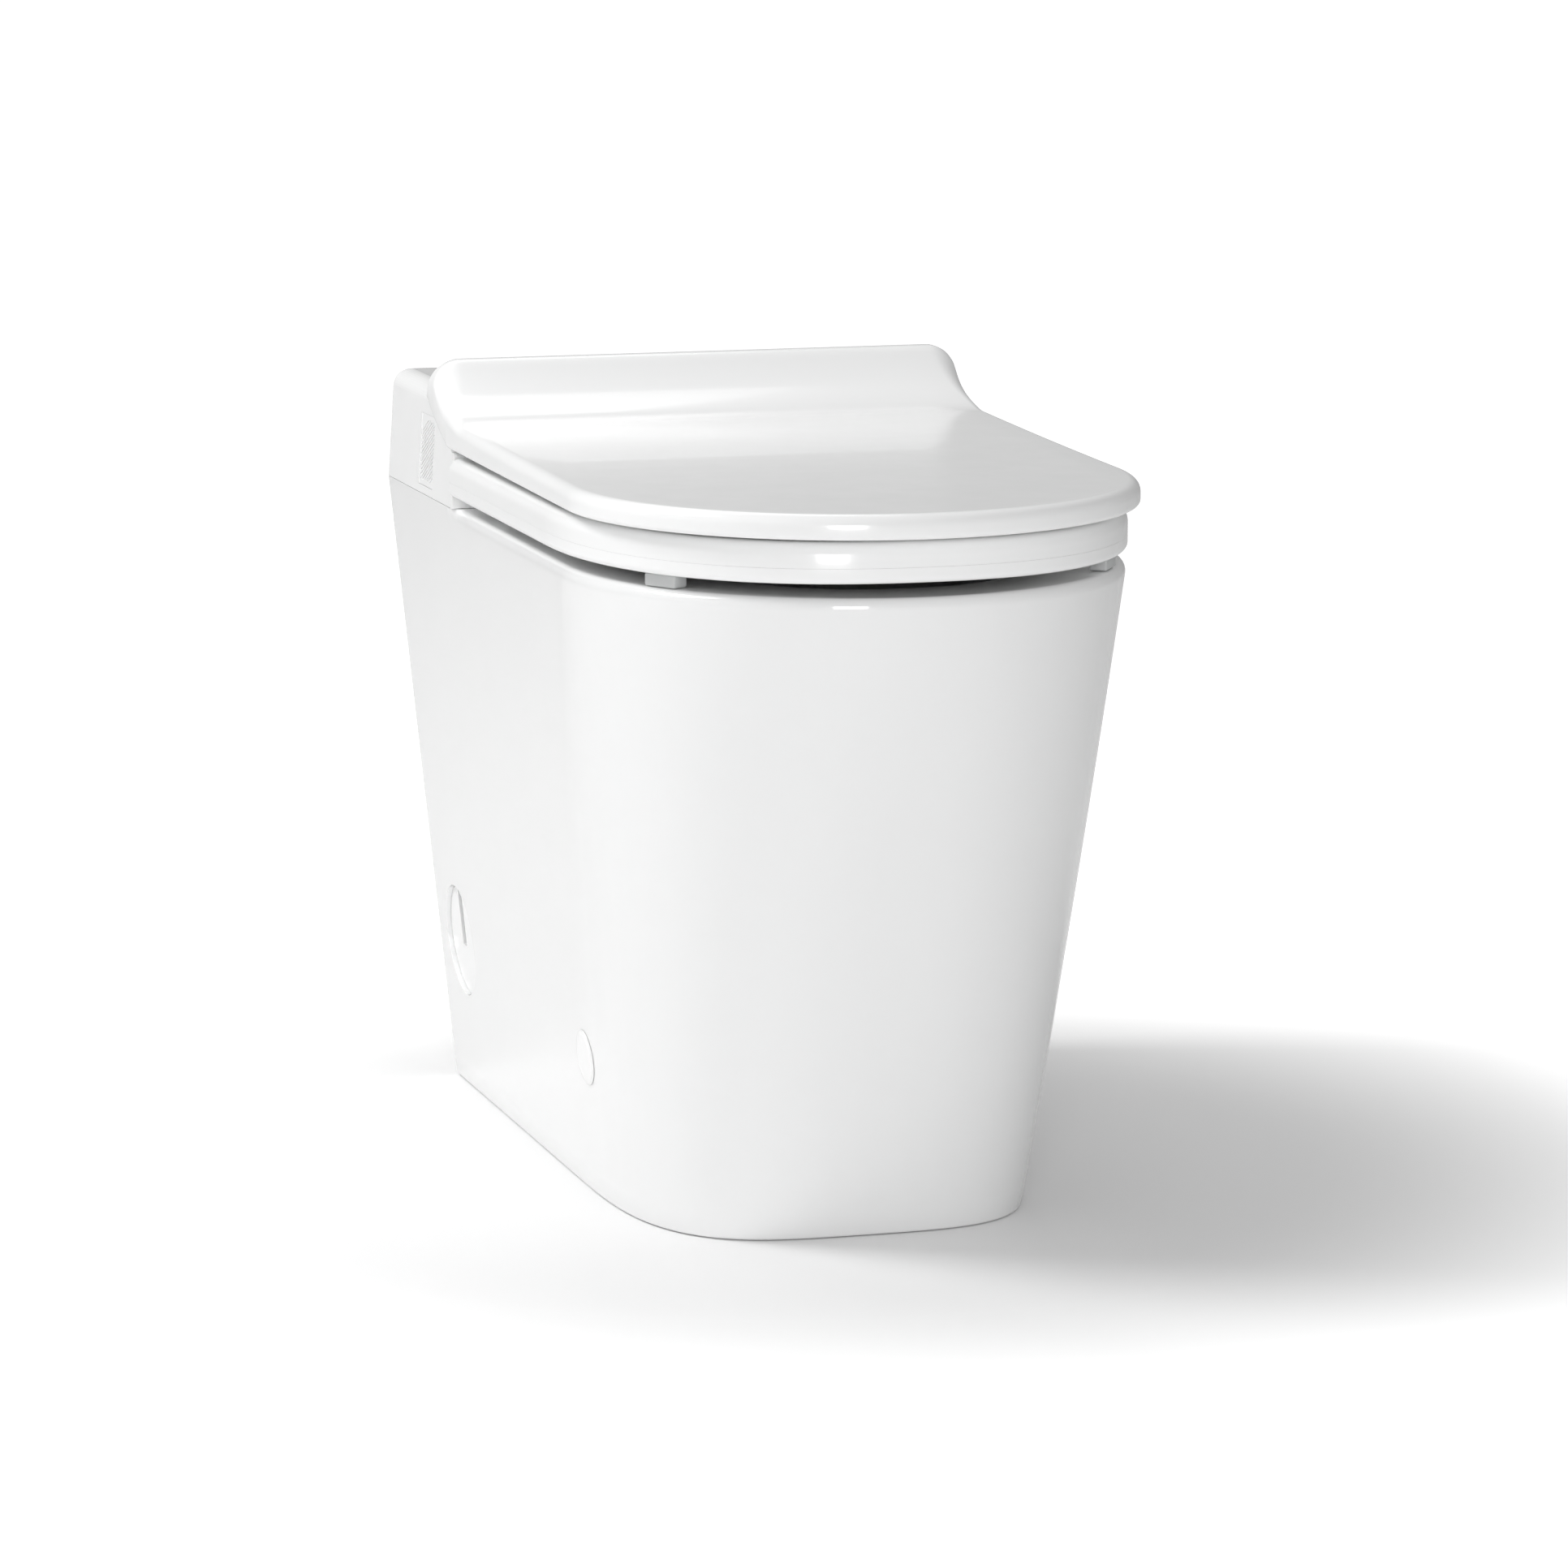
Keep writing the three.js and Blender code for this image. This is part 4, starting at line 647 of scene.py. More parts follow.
def cut_plane(form, point, normal):
    """Cuts away what lies on the normal's side of a plane, and closes the cut."""
    bmesh.ops.bisect_plane(form, geom=form.verts[:] + form.edges[:] + form.faces[:], dist=1e-7,
                           plane_co=point, plane_no=normal, clear_outer=True)
    close_openings(form)
    outward(form)
    return form


CREST_FACING = math.radians(25)
crest_normal = Vector((0, math.cos(CREST_FACING), math.sin(CREST_FACING)))
lid_form = cut_plane(slab(260, LID_SHAPE, lid_stations()),
                     Vector((0, CREST_Y, CREST_Z)) + crest_normal * CREST_R, crest_normal)
lid = finished("lid", lid_form, "lid", WHITE, stands_for=["lid_shell"])
HOLLOW_END = HINGE.y - 26 * MM
ARM = (98 * MM, 118 * MM)
EAR = (119 * MM, 135 * MM)
NOTCH_CLEAR = 0.8 * MM
notches = []
for side in (-1, 1):
    left, right = on_side(side, ARM[0] - NOTCH_CLEAR, EAR[1] + NOTCH_CLEAR)
    notches.append(cutter_block((left, HINGE.y - 9.8 * MM, LID_UNDER),
                                (right, HINGE.y + 20 * MM, HINGE.z + 9.5 * MM)))
cut(lid, [lid_hollow(4 * MM, lambda y: lid_under(y) - 3 * MM, hollow_roof, HOLLOW_END)])
cut(lid, notches)
soft_edges(lid, 0.7 * MM)

panel_form = lid_hollow(4.3 * MM, lid_under, lambda y: lid_under(y) + LID_WALL, HOLLOW_END - FIT)
lid_panel = finished("lid_inner_panel", panel_form, "lid", WHITE,
                     stands_for=["lid_inner_panel"])
soft_edges(lid_panel, 0.5 * MM)

# %% [markdown]
# ## The ceramic pedestal
#
# Vitreous china is cast in plaster moulds, so it has no sharp outer edge and one even wall. The
# skirt is a slab whose outline changes with height. The rim is rounded only where it is free, in
# front of the housing, and runs up square under the housing to give a tight joint. The bowl is a
# stack of ovals with a rolled lip. The trapway is a tube that climbs behind the bowl and falls to the
# floor outlet. Booleans join them as the caster's slip does.

# %% Skirt
RIM_ROUND, CERAMIC_WALL, DECK = 8 * MM, 12 * MM, 14 * MM
FOOT_NARROWER = 46 * MM
FOOT_SETBACK, RIM_SETBACK = 139 * MM, 8 * MM
FOOT_NOSE, RIM_NOSE = 226 * MM, 202 * MM
FOOT_POWER, RIM_POWER = 3.6, 2.0


def skirt_shape(z, rear=REAR):
    t = clamp01(z / RIM_HEIGHT)
    return dict(half=mix(HALF - FOOT_NARROWER, HALF, t), rear=rear,
                front=NOSE + mix(FOOT_SETBACK, RIM_SETBACK, t), nose=mix(FOOT_NOSE, RIM_NOSE, t),
                power=mix(FOOT_POWER, RIM_POWER, t), straight=0.45)


def skirt_half(y, z):
    here = skirt_shape(z)
    along = max((here["front"] + here["nose"] - y) / here["nose"], 0)
    return here["half"] * max(1 - along ** here["power"], 0) ** (1 / here["power"])


def rounded_rim(y, angle):
    free = smooth01((FACE - y) / (5 * MM))
    return RIM_ROUND * (1 - math.cos(angle)) * free


def skirt_stations():
    stations = drawn_to_middle(2 * MM, level(0.0)) + [(2 * MM, level(0.0), 0)]
    stations += [(0.6 * MM, level(0.6 * MM), 0)]
    base = RIM_HEIGHT - RIM_ROUND
    stations += [(0.0, level(mix(2 * MM, base, i / 30)), 0) for i in range(31)]
    for a in quarter(7):
        stations.append((lambda y, a=a: rounded_rim(y, a), level(base + RIM_ROUND * math.sin(a)), 0))
    last = stations[-1][0]
    return stations + list(reversed(drawn_to_middle(last, level(RIM_HEIGHT))))


def inner_skirt(inset, low, high, steps=12):
    stations = drawn_to_middle(inset, level(low))
    stations += [(inset, level(mix(low, high, i / steps)), 0) for i in range(steps + 1)]
    stations += list(reversed(drawn_to_middle(inset, level(high))))
    return slab(120, lambda z: skirt_shape(z, REAR - inset), stations)


# %% Bowl and trapway
BOWL_DEPTH = 270 * MM
BOWL_SIDE, BOWL_FRONT, BOWL_REAR = 63 * MM, 60 * MM, 38 * MM  # from the rim's edges to the mouth
SUMP_HALF, SUMP_LENGTH = 40 * MM, 124 * MM
SUMP_FRONT = NOSE + 223 * MM
SUMP_REAR = SUMP_FRONT + SUMP_LENGTH
TRAP_BORE, TRAP_WALL = 26 * MM, 9 * MM
OUTLET_Y = REAR - 305 * MM


def bowl_levels(grow, steps=24):
    levels = []
    for i in range(steps + 1):
        depth = BOWL_DEPTH * math.cos(math.pi / 2 * i / steps)
        spread = math.sqrt(1 - (depth / BOWL_DEPTH) ** 2)
        # A grown bowl ends inside the deck, so that the two tops never share one plane.
        height = RIM_HEIGHT - depth - (grow if i == 0 else 0) - (3 * MM if grow and i == steps else 0)
        levels.append((height,
                       mix(SUMP_HALF, HALF - BOWL_SIDE, spread) + grow,
                       mix(SUMP_FRONT, NOSE + BOWL_FRONT, spread) - grow,
                       mix(SUMP_REAR, FACE - BOWL_REAR, spread) + grow))
    return levels


def bowl_inside():
    lip = 5 * MM
    levels = [row for row in bowl_levels(0) if row[0] < RIM_HEIGHT - lip - 1 * MM]
    _, half, front, rear = bowl_levels(0)[-1]
    for i in range(7):
        a = math.pi / 2 * i / 6
        flare = lip * (1 - math.cos(a))
        height = RIM_HEIGHT - lip * (1 - math.sin(a))
        levels.append((height, half + flare, front - flare, rear + flare))
    levels.append((RIM_HEIGHT + 6 * MM, half + lip, front - lip, rear + lip))
    return levels


def trap_line():
    """Points (y, z) from the sump, up over the weir and down to the floor outlet."""
    sump = RIM_HEIGHT - BOWL_DEPTH
    return [(SUMP_REAR - 42 * MM, sump + 30 * MM), (SUMP_REAR + 12 * MM, sump + 22 * MM),
            (SUMP_REAR + 58 * MM, sump + 52 * MM), (SUMP_REAR + 105 * MM, sump + 98 * MM),
            (OUTLET_Y + 108 * MM, sump + 88 * MM), (OUTLET_Y + 112 * MM, sump + 20 * MM),
            (OUTLET_Y + 66 * MM, sump - 44 * MM), (OUTLET_Y + 14 * MM, sump - 86 * MM),
            (OUTLET_Y, sump - 126 * MM), (OUTLET_Y, -20 * MM)]


ceramic_form = slab(220, skirt_shape, skirt_stations())
ceramic = finished("ceramic_pedestal_glazed", ceramic_form, "toilet", CHINA,
                   stands_for=["ceramic_pedestal", "ceramic_bowl", "ceramic_sump", "ceramic_trapway",
                               "ceramic_outlet"], smooth=42)
cut(ceramic, [inner_skirt(CERAMIC_WALL, -6 * MM, RIM_HEIGHT - DECK)])
cut(ceramic, [cutter_block((-95 * MM, REAR - 36 * MM, -20 * MM), (95 * MM, REAR + 20 * MM, 330 * MM),
                           8 * MM)])
cut(ceramic, [oval_stack(96, bowl_levels(CERAMIC_WALL))], "UNION")
cut(ceramic, [tube(trap_line(), TRAP_BORE + TRAP_WALL, 72)], "UNION")
cut(ceramic, [oval_stack(128, bowl_inside())])
cut(ceramic, [tube(trap_line(), TRAP_BORE, 72)])

# %% Openings of the ceramic
ACCESS_Y, ACCESS_Z, ACCESS_R = REAR - 63 * MM, 110 * MM, 39 * MM
BOLT_Y, BOLT_Z, BOLT_R = NOSE + 288 * MM, 96 * MM, 18.5 * MM
BOLT_FACE = skirt_half(BOLT_Y, BOLT_Z)

CLEAR_OF_BOWL = 60 * MM  # a cut through the side wall starts this far from the middle
MOUNT_X, MOUNT_Y = 75 * MM, HINGE.y - 13 * MM

side_cuts, side_bores = [], []
for side in (-1, 1):
    out, start = side * (HALF + 20 * MM), side * CLEAR_OF_BOWL
    side_cuts.append(cutter_rod((start, ACCESS_Y, ACCESS_Z), (out, ACCESS_Y, ACCESS_Z),
                                ACCESS_R + FIT, 96))
    side_cuts.append(cutter_rod((start, BOLT_Y, BOLT_Z), (out, BOLT_Y, BOLT_Z), 5 * MM, 32))
    counterbore = (side * (BOLT_FACE - 6.5 * MM), BOLT_Y, BOLT_Z)
    side_bores.append(cutter_rod(counterbore, (out, BOLT_Y, BOLT_Z), 9.3 * MM, 48))
    side_bores.append(cutter_rod((side * MOUNT_X, MOUNT_Y, 380 * MM),
                                 (side * MOUNT_X, MOUNT_Y, RIM_HEIGHT + 5 * MM), 6.3 * MM, 32))
drain_hole = cutter_block((-60 * MM, OUTLET_Y - 60 * MM, -60 * MM), (60 * MM, OUTLET_Y + 60 * MM, 8 * MM))
service_hole = cutter_block((-112 * MM, REAR - 47 * MM, RIM_HEIGHT - DECK - 5 * MM),
                            (-40 * MM, REAR - 9 * MM, RIM_HEIGHT + 5 * MM), 2 * MM)
cut(ceramic, side_cuts)
cut(ceramic, side_bores + [drain_hole, service_hole])
soft_edges(ceramic, 1.2 * MM, angle=45)


# %% [markdown]
# ## Covers on the sides
#
# Low on each side a round cover sits a little back in its hole, with a slot for the supply hose. It
# follows the leaning wall, so its face is made by asking the skirt for its width at each point. The
# bolt cap further forward is a shallow dome made the same way.

# %% Access covers and bolt caps
def wall_disc(side, y, z, profile, columns=72):
    """A disc on the side wall: profile holds (radius, height above the wall)."""
    def place(u, v):
        radius, height = profile[round(v * (len(profile) - 1))]
        angle = u * 2 * math.pi
        at_y, at_z = y + radius * math.cos(angle), z + radius * math.sin(angle)
        return Vector((side * (skirt_half(at_y, at_z) + height), at_y, at_z))

    form = wrapped_sheet(columns, len(profile) - 1, place)
    outward(form)
    return form


def access_profile():
    face, back = -3 * MM, -7 * MM
    front = [(ACCESS_R * i / 10, face) for i in range(10)] + [(ACCESS_R - 1 * MM, face)]
    edge = [(ACCESS_R - 0.3 * MM, -3.3 * MM), (ACCESS_R, -4 * MM), (ACCESS_R, back)]
    return front + edge + [(ACCESS_R * (9 - i) / 10, back) for i in range(10)]


def cap_profile():
    round_edge, foot, share = 1.6 * MM, 0.3 * MM, 0.9
    flat = BOLT_R - round_edge
    dome = []
    for i in range(11):
        a = math.pi / 2 * i / 10
        radius = flat * math.sin(a * share) / math.sin(math.pi / 2 * share)
        dome.append((radius, 1.5 * MM + 1.1 * MM * math.cos(a)))
    edge = [(flat + round_edge * math.sin(a), foot + 1.2 * MM * math.cos(a)) for a in quarter(5)]
    return dome + edge + [(BOLT_R * (7 - i) / 8, foot) for i in range(8)]


for side, name in ((-1, "left"), (1, "right")):
    cover = finished(f"access_cover_{name}", wall_disc(side, ACCESS_Y, ACCESS_Z, access_profile()),
                     "toilet", WHITE, stands_for=[f"access_cover_{name}"])
    left, right = on_side(side, CLEAR_OF_BOWL, HALF)
    cut(cover, [cutter_block((left, ACCESS_Y - 5.25 * MM, ACCESS_Z - 4 * MM),
                             (right, ACCESS_Y + 5.25 * MM, ACCESS_Z + 60 * MM), 2 * MM)])
    soft_edges(cover, 0.4 * MM)
    finished(f"bolt_cap_{name}", wall_disc(side, BOLT_Y, BOLT_Z, cap_profile()), "toilet",
             WHITE, stands_for=[f"bolt_cap_{name}"])

# %% [markdown]
# ## The seat
#
# The seat is a ring closed by a thin bridge over the spray wand. It is two mouldings welded round the
# edge, with a heating foil inside, so a fine joint line runs round it. The ring starts as a slab. The
# hole is cut with a stack of ovals that flare to a soft lip, and the sitting face is then dished
# towards the hole. Two arms at the rear carry it to the hinge shafts.

# %% Seat ring
SEAT_REAR = FACE - 3 * MM
SEAT_SPLIT = SEAT_BOTTOM + 10 * MM
SEAT_SHAPE = dict(half=HALF + 2.5 * MM, rear=SEAT_REAR, front=NOSE + 12 * MM, nose=233.4 * MM,
                  power=2.3, straight=0.4)
HOLE_HALF, HOLE_FRONT, HOLE_REAR = 108 * MM, NOSE + 104 * MM, SEAT_REAR - 93 * MM


def seat_stations():
    under, top = 4 * MM, 9 * MM
    stations = drawn_to_middle(under, level(SEAT_BOTTOM)) + [(under, level(SEAT_BOTTOM), 0)]
    for a in quarter(5):
        stations.append((under * (1 - math.sin(a)), level(SEAT_BOTTOM + under * (1 - math.cos(a))), 0))
    stations += [(0.0, level(SEAT_SPLIT), 0), (0.0, level(SEAT_TOP - top), 0)]
    for a in quarter(9):
        stations.append((top * (1 - math.cos(a)), level(SEAT_TOP - top * (1 - math.sin(a))), 0))
    return stations + list(reversed(drawn_to_middle(top, level(SEAT_TOP), 14)))


def hole_level(z, flare):
    return (z, HOLE_HALF + flare, HOLE_FRONT - flare, HOLE_REAR + flare)


def seat_hole():
    lip, under = 7 * MM, 3 * MM
    levels = [hole_level(SEAT_BOTTOM - 5 * MM, under), hole_level(SEAT_BOTTOM, under)]
    levels += [hole_level(SEAT_BOTTOM + under * (1 - math.cos(a)), under * (1 - math.sin(a)))
               for a in quarter(4)]
    for i in range(9):
        a = math.pi / 2 * i / 8
        levels.append(hole_level(SEAT_TOP - 8 * MM + 8 * MM * math.sin(a), lip * (1 - math.cos(a))))
    return oval_stack(144, levels + [hole_level(SEAT_TOP + 5 * MM, lip)])


def dish(form):
    """Lowers the sitting face a little towards the hole."""
    power, zone, drop, reach_out = 2.3, 9 * MM, 3 * MM, 0.55
    middle, reach = (HOLE_FRONT + HOLE_REAR) / 2, (HOLE_REAR - HOLE_FRONT) / 2
    for vert in form.verts:
        if vert.co.z < SEAT_TOP - zone:
            continue
        across, along = abs(vert.co.x / HOLE_HALF), abs((vert.co.y - middle) / reach)
        ring = (across**power + along**power) ** (1 / power)
        share = (vert.co.z - SEAT_TOP + zone) / zone
        vert.co.z -= drop * share * smooth01(1 - (ring - 1.0) / reach_out)


ARM_BENDS = [FACE + 10 * MM, HINGE.y - 28 * MM, HINGE.y - 12 * MM]
ARM_BELOW_LID, BARREL_R, SHAFT_BORE_R = 2.2 * MM, 6 * MM, 3.8 * MM


def arm_line():
    bends = ARM_BENDS
    upper = [(SEAT_REAR - 8 * MM, SEAT_TOP - 1 * MM)] + [(y, lid_under(y) - ARM_BELOW_LID) for y in bends]
    upper += [(HINGE.y - 8 * MM, lid_under(HINGE.y - 12 * MM) + 1 * MM), (HINGE.y - 6 * MM, HINGE.z)]
    lower = [(HINGE.y + 6 * MM, HINGE.z), (HINGE.y + 5 * MM, HINGE.z - 32 * MM)]
    lower += [(y, lid_under(y) - 11.7 * MM) for y in reversed(bends)]
    return upper + lower + [(SEAT_REAR - 8 * MM, SEAT_TOP - 10.5 * MM)]


whole_seat = finished("seat_blank", slab(220, SEAT_SHAPE, seat_stations()), "seat",
                      WHITE)
cut(whole_seat, [seat_hole()])
BRIDGE_HALF, BRIDGE_THICKNESS = 72 * MM, 7 * MM
cut(whole_seat, [cutter_block((-BRIDGE_HALF, SEAT_REAR - 113 * MM, SEAT_BOTTOM - 10 * MM),
                              (BRIDGE_HALF, SEAT_REAR + 20 * MM, SEAT_TOP - BRIDGE_THICKNESS), 3 * MM)])


def half_of_seat(up):
    """The half above the joint (up 1) or below it (up -1). A hairline joint parts them."""
    form = bmesh.new()
    form.from_mesh(whole_seat.data)
    return cut_plane(form, (0, 0, SEAT_SPLIT + up * 0.04 * MM), (0, 0, -up))


def on_hinge(x):
    return (x, HINGE.y, HINGE.z)


top_form = half_of_seat(1)
dish(top_form)
seat_top = finished("seat_top", top_form, "seat", WHITE,
                    stands_for=["seat_top_shell"], smooth=40)
seat_base = finished("seat_base_ring", half_of_seat(-1), "seat", WHITE,
                     stands_for=["seat_base"], smooth=40)
bpy.data.objects.remove(whole_seat)
for side in (-1, 1):
    left, right = on_side(side, *ARM)
    cut(seat_top, [pushed(arm_line(), 0, left, right)], "UNION")
    cut(seat_top, [cutter_rod(on_hinge(left), on_hinge(right), BARREL_R, 48)], "UNION")
    cut(seat_top, [cutter_rod(on_hinge(side * 90 * MM), on_hinge(side * 140 * MM), SHAFT_BORE_R, 40)])
soft_edges(seat_top, 0.2 * MM, angle=42)
soft_edges(seat_base, 0.12 * MM, angle=42)


# %% Rubber pads under the seat and the lid
def rubber_pad(name, body, size, place, turn):
    form = bmesh.new()
    bmesh.ops.create_cube(form, size=1.0)
    bmesh.ops.scale(form, vec=size, verts=form.verts)
    bmesh.ops.bevel(form, geom=form.edges[:], offset=1.6 * MM, segments=4, affect="EDGES", profile=0.5,
                    material=-1, clamp_overlap=True)
    bmesh.ops.rotate(form, matrix=Matrix.Rotation(math.radians(turn), 3, "Z"), verts=form.verts)
    bmesh.ops.translate(form, vec=place, verts=form.verts)
    finished(name + "_pad", form, body, PAD_RUBBER, stands_for=[name])


pad_low, pad_high = RIM_HEIGHT + FIT, SEAT_BOTTOM - FIT
lid_pad_low, lid_pad_high = SEAT_TOP + FIT, lid_under(NOSE + 115 * MM) - FIT
SEAT_PAD = (12 * MM, 26 * MM, pad_high - pad_low)
for side, name in ((-1, "left"), (1, "right")):
    rubber_pad(f"seat_bumper_front_{name}", "seat", SEAT_PAD,
               (side * (HALF - 41 * MM), NOSE + 103 * MM, (pad_low + pad_high) / 2), -32 * side)
    rubber_pad(f"seat_bumper_rear_{name}", "seat", SEAT_PAD,
               (side * (HALF - 22 * MM), SEAT_REAR - 60 * MM, (pad_low + pad_high) / 2), 0)
    rubber_pad(f"lid_bumper_{name}", "lid", (10 * MM, 20 * MM, lid_pad_high - lid_pad_low),
               (side * (HALF - 40 * MM), NOSE + 127 * MM, (lid_pad_low + lid_pad_high) / 2), -30 * side)

# %% [markdown]
# ## The housing
#
# The housing holds the electric unit behind the seat. Its side view follows the lid's underside, and
# its front view has leaning sides and rounded shoulders. Two pushed-through outlines, one for each
# view, are intersected. A smaller copy of the same form hollows it out.

# %% Housing form
LEAN = 3.5 / 55


def housing_half(z):
    return HALF - LEAN * (z - RIM_HEIGHT)


def housing_profile(inset):
    gap = 3 * MM + inset * 1.1
    foot = RIM_HEIGHT + FIT - (10 * MM if inset else 0)
    first = 3 * MM
    stops = [s * MM for s in (6, 9, 10.2, 11.5, 14, 18, 22, 26, 31, 36, 42, 48, 54, 60, 65)]
    under_lid = [FACE + inset + first] + [FACE + s for s in stops if s > inset + first]
    slope = [(y, lid_under(y) - gap) for y in under_lid]
    crest = [(HINGE.y + 16 * MM + inset, HOUSING_TOP - 6.5 * MM - inset),
             (HINGE.y + 17 * MM + inset, HOUSING_TOP - 2.2 * MM - inset),
             (HINGE.y + 19.5 * MM + inset, HOUSING_TOP - inset)]
    corner = arc_points((REAR - 5 * MM, HOUSING_TOP - 5 * MM), 5 * MM - min(inset, 4 * MM), 90, 0, 6)
    front = [(FACE + inset, foot), (FACE + inset, lid_under(FACE) - gap - 2 * MM)]
    return front + slope + crest + corner + [(REAR - inset, foot)]


def housing_section(inset):
    r = 13 * MM
    low = housing_half(RIM_HEIGHT) - inset
    shoulder = arc_points((housing_half(HOUSING_TOP - r) - r, HOUSING_TOP - r), r - inset, 0, 90, 12)
    right = [(low, RIM_HEIGHT - 20 * MM), (low, RIM_HEIGHT)] + shoulder
    return right + [(-x, z) for x, z in reversed(right)]


def housing_blank(name, inset):
    form = pushed(housing_profile(inset), 0, -HALF - 5 * MM, HALF + 5 * MM)
    blank = finished(name, form, "toilet", WHITE, smooth=38)
    cut(blank, [pushed(housing_section(inset), 1, FACE - 10 * MM, REAR + 10 * MM)], "INTERSECT")
    return blank


def take_form(blank):
    form = bmesh.new()
    form.from_mesh(blank.data)
    bpy.data.objects.remove(blank)
    return form


HOUSING_WALL = 2.6 * MM
housing_inside = take_form(housing_blank("housing_inside", HOUSING_WALL))
housing_solid = take_form(housing_blank("housing_solid", 0))
housing = housing_blank("housing", 0)
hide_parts("housing_cover")
cut(housing, [housing_inside])


# %% Arm slots and hinge ears
def arm_slot(grow):
    under = 11 * MM + grow
    front = FACE - 5 * MM + (5.5 * MM if grow else 0)
    back = HINGE.y + 8 * MM + grow
    floor = [(y, lid_under(y) - ARM_BELOW_LID - under) for y in ARM_BENDS]
    return [(front, SEAT_TOP - 1 * MM - under)] + floor + [
        (back, HINGE.z - 34 * MM - grow), (back, HINGE.z + 20 * MM), (front, HINGE.z + 20 * MM)]


TRAY_WALL, SLOT_CLEAR = 3.5 * MM, 1 * MM
EAR_R, EAR_HALF_FOOT, EAR_DEPTH = 7.5 * MM, 6 * MM, 22 * MM
trays, slots, ears, shafts = [], [], [], []
for side in (-1, 1):
    tray_span = on_side(side, ARM[0] - TRAY_WALL, ARM[1] + TRAY_WALL)
    trays.append(pushed(arm_slot(3 * MM), 0, *tray_span))
    slots.append(pushed(arm_slot(0), 0, *on_side(side, ARM[0] - SLOT_CLEAR, ARM[1] + SLOT_CLEAR)))
    crown = arc_points((HINGE.y, HINGE.z), EAR_R, 0, 180, 16)
    rear_foot, front_foot = [(HINGE.y + s * EAR_HALF_FOOT, HINGE.z - EAR_DEPTH) for s in (1, -1)]
    ears.append(pushed([rear_foot] + crown + [front_foot], 0, *on_side(side, *EAR)))
    shafts.append(cutter_rod(on_hinge(side * 100 * MM), on_hinge(side * HALF), SHAFT_BORE_R, 40))
tray_blank = finished("trays", joined_form(trays), "toilet", WHITE)
cut(tray_blank, [housing_solid], "INTERSECT")
cut(housing, [take_form(tray_blank)], "UNION")
cut(housing, slots)
cut(housing, ears, "UNION")
cut(housing, shafts)

# %% [markdown]
# ## Openings of the housing
#
# The left wall carries the air vent of the deodoriser and the right wall a small control panel. The
# front face has the dryer outlet, the smoked window of the seat sensor and the mouth of the spray
# wand. Vent and panel lie in the leaning wall, so their outlines are pushed along the wall's own
# direction.

# %% Vent, panel and front openings
VENT_FRONT, VENT_REAR = REAR - 131 * MM, REAR - 90 * MM
VENT_LOW, VENT_HIGH = RIM_HEIGHT + 6 * MM, RIM_HEIGHT + 55 * MM
VENT_BELOW_LID = 8 * MM
PANEL_Y, PANEL_Z = REAR - 76 * MM, RIM_HEIGHT + 32 * MM
BASE_TOP = RIM_HEIGHT + 4.3 * MM
DUCT_WALL = 1.6 * MM
DUCT_X, DUCT_Z = (30 * MM, 58 * MM), (BASE_TOP + DUCT_WALL, BASE_TOP + 19.6 * MM)
FLAP_Y, FLAP_Z = FACE - 2.2 * MM, RIM_HEIGHT + 25 * MM


def vent_ceiling(y):
    """Top of the vent: level, but cut by a curve that keeps below the lid."""
    return min(lid_under(y) - VENT_BELOW_LID, VENT_HIGH)


def vent_outline(grow):
    curve = [(VENT_FRONT + back * MM - grow, vent_ceiling(VENT_FRONT + back * MM) + grow)
             for back in (18, 15, 12, 9, 6, 3, 0)]
    return [(VENT_FRONT - grow, VENT_LOW - grow), (VENT_REAR + grow, VENT_LOW - grow),
            (VENT_REAR + grow, VENT_HIGH + grow)] + curve


def panel_outline(grow):
    r, reach = 13 * MM + grow, 21 * MM
    rear_end = arc_points((PANEL_Y + reach, PANEL_Z), r, -90, 90, 16)
    return rear_end + arc_points((PANEL_Y - reach, PANEL_Z), r, 90, 270, 16)


def leaning(form, side):
    """Shears a form that stands at the plane x = 0 onto the housing's leaning side wall."""
    for vert in form.verts:
        vert.co.x = side * (housing_half(vert.co.z) + vert.co.x)
    outward(form)
    return form


cut(housing, [leaning(pushed(vent_outline(FIT), 0, -20 * MM, 5 * MM), -1),
              leaning(pushed(panel_outline(FIT), 0, -20 * MM, 5 * MM), 1)])
LUG_HALF, LUG_WIDTH = 2.4 * MM, 2.9 * MM
lugs = [cutter_block((x, FLAP_Y - LUG_HALF, FLAP_Z - LUG_HALF),
                     (x + LUG_WIDTH, FACE + 0.5 * MM, FLAP_Z + LUG_HALF), 0.6 * MM)
        for x in (DUCT_X[0] - 3.2 * MM, DUCT_X[1] + 0.3 * MM)]
cut(housing, lugs, "UNION")


def front_opening(x_low, x_high, z_low, z_high, bevel=0.0):
    return cutter_block((x_low, FACE - 4 * MM, z_low), (x_high, FACE + 8 * MM, z_high), bevel)


flap_pin = cutter_rod((DUCT_X[0] - 2 * MM, FLAP_Y, FLAP_Z), (DUCT_X[1] + 2 * MM, FLAP_Y, FLAP_Z),
                      1.2 * MM, 20)
duct_mouth = front_opening(DUCT_X[0] + DUCT_WALL, DUCT_X[1] - DUCT_WALL, DUCT_Z[0] + DUCT_WALL,
                           DUCT_Z[1] - DUCT_WALL)
sensor_window = front_opening(-64.3 * MM, -41.7 * MM, RIM_HEIGHT + 9.7 * MM, RIM_HEIGHT + 21.3 * MM)
wand_mouth = front_opening(-12 * MM, 12 * MM, RIM_HEIGHT + 6.5 * MM, RIM_HEIGHT + 28 * MM, 2 * MM)
cut(housing, [flap_pin, duct_mouth, sensor_window, wand_mouth])
soft_edges(housing, 0.6 * MM, angle=40)

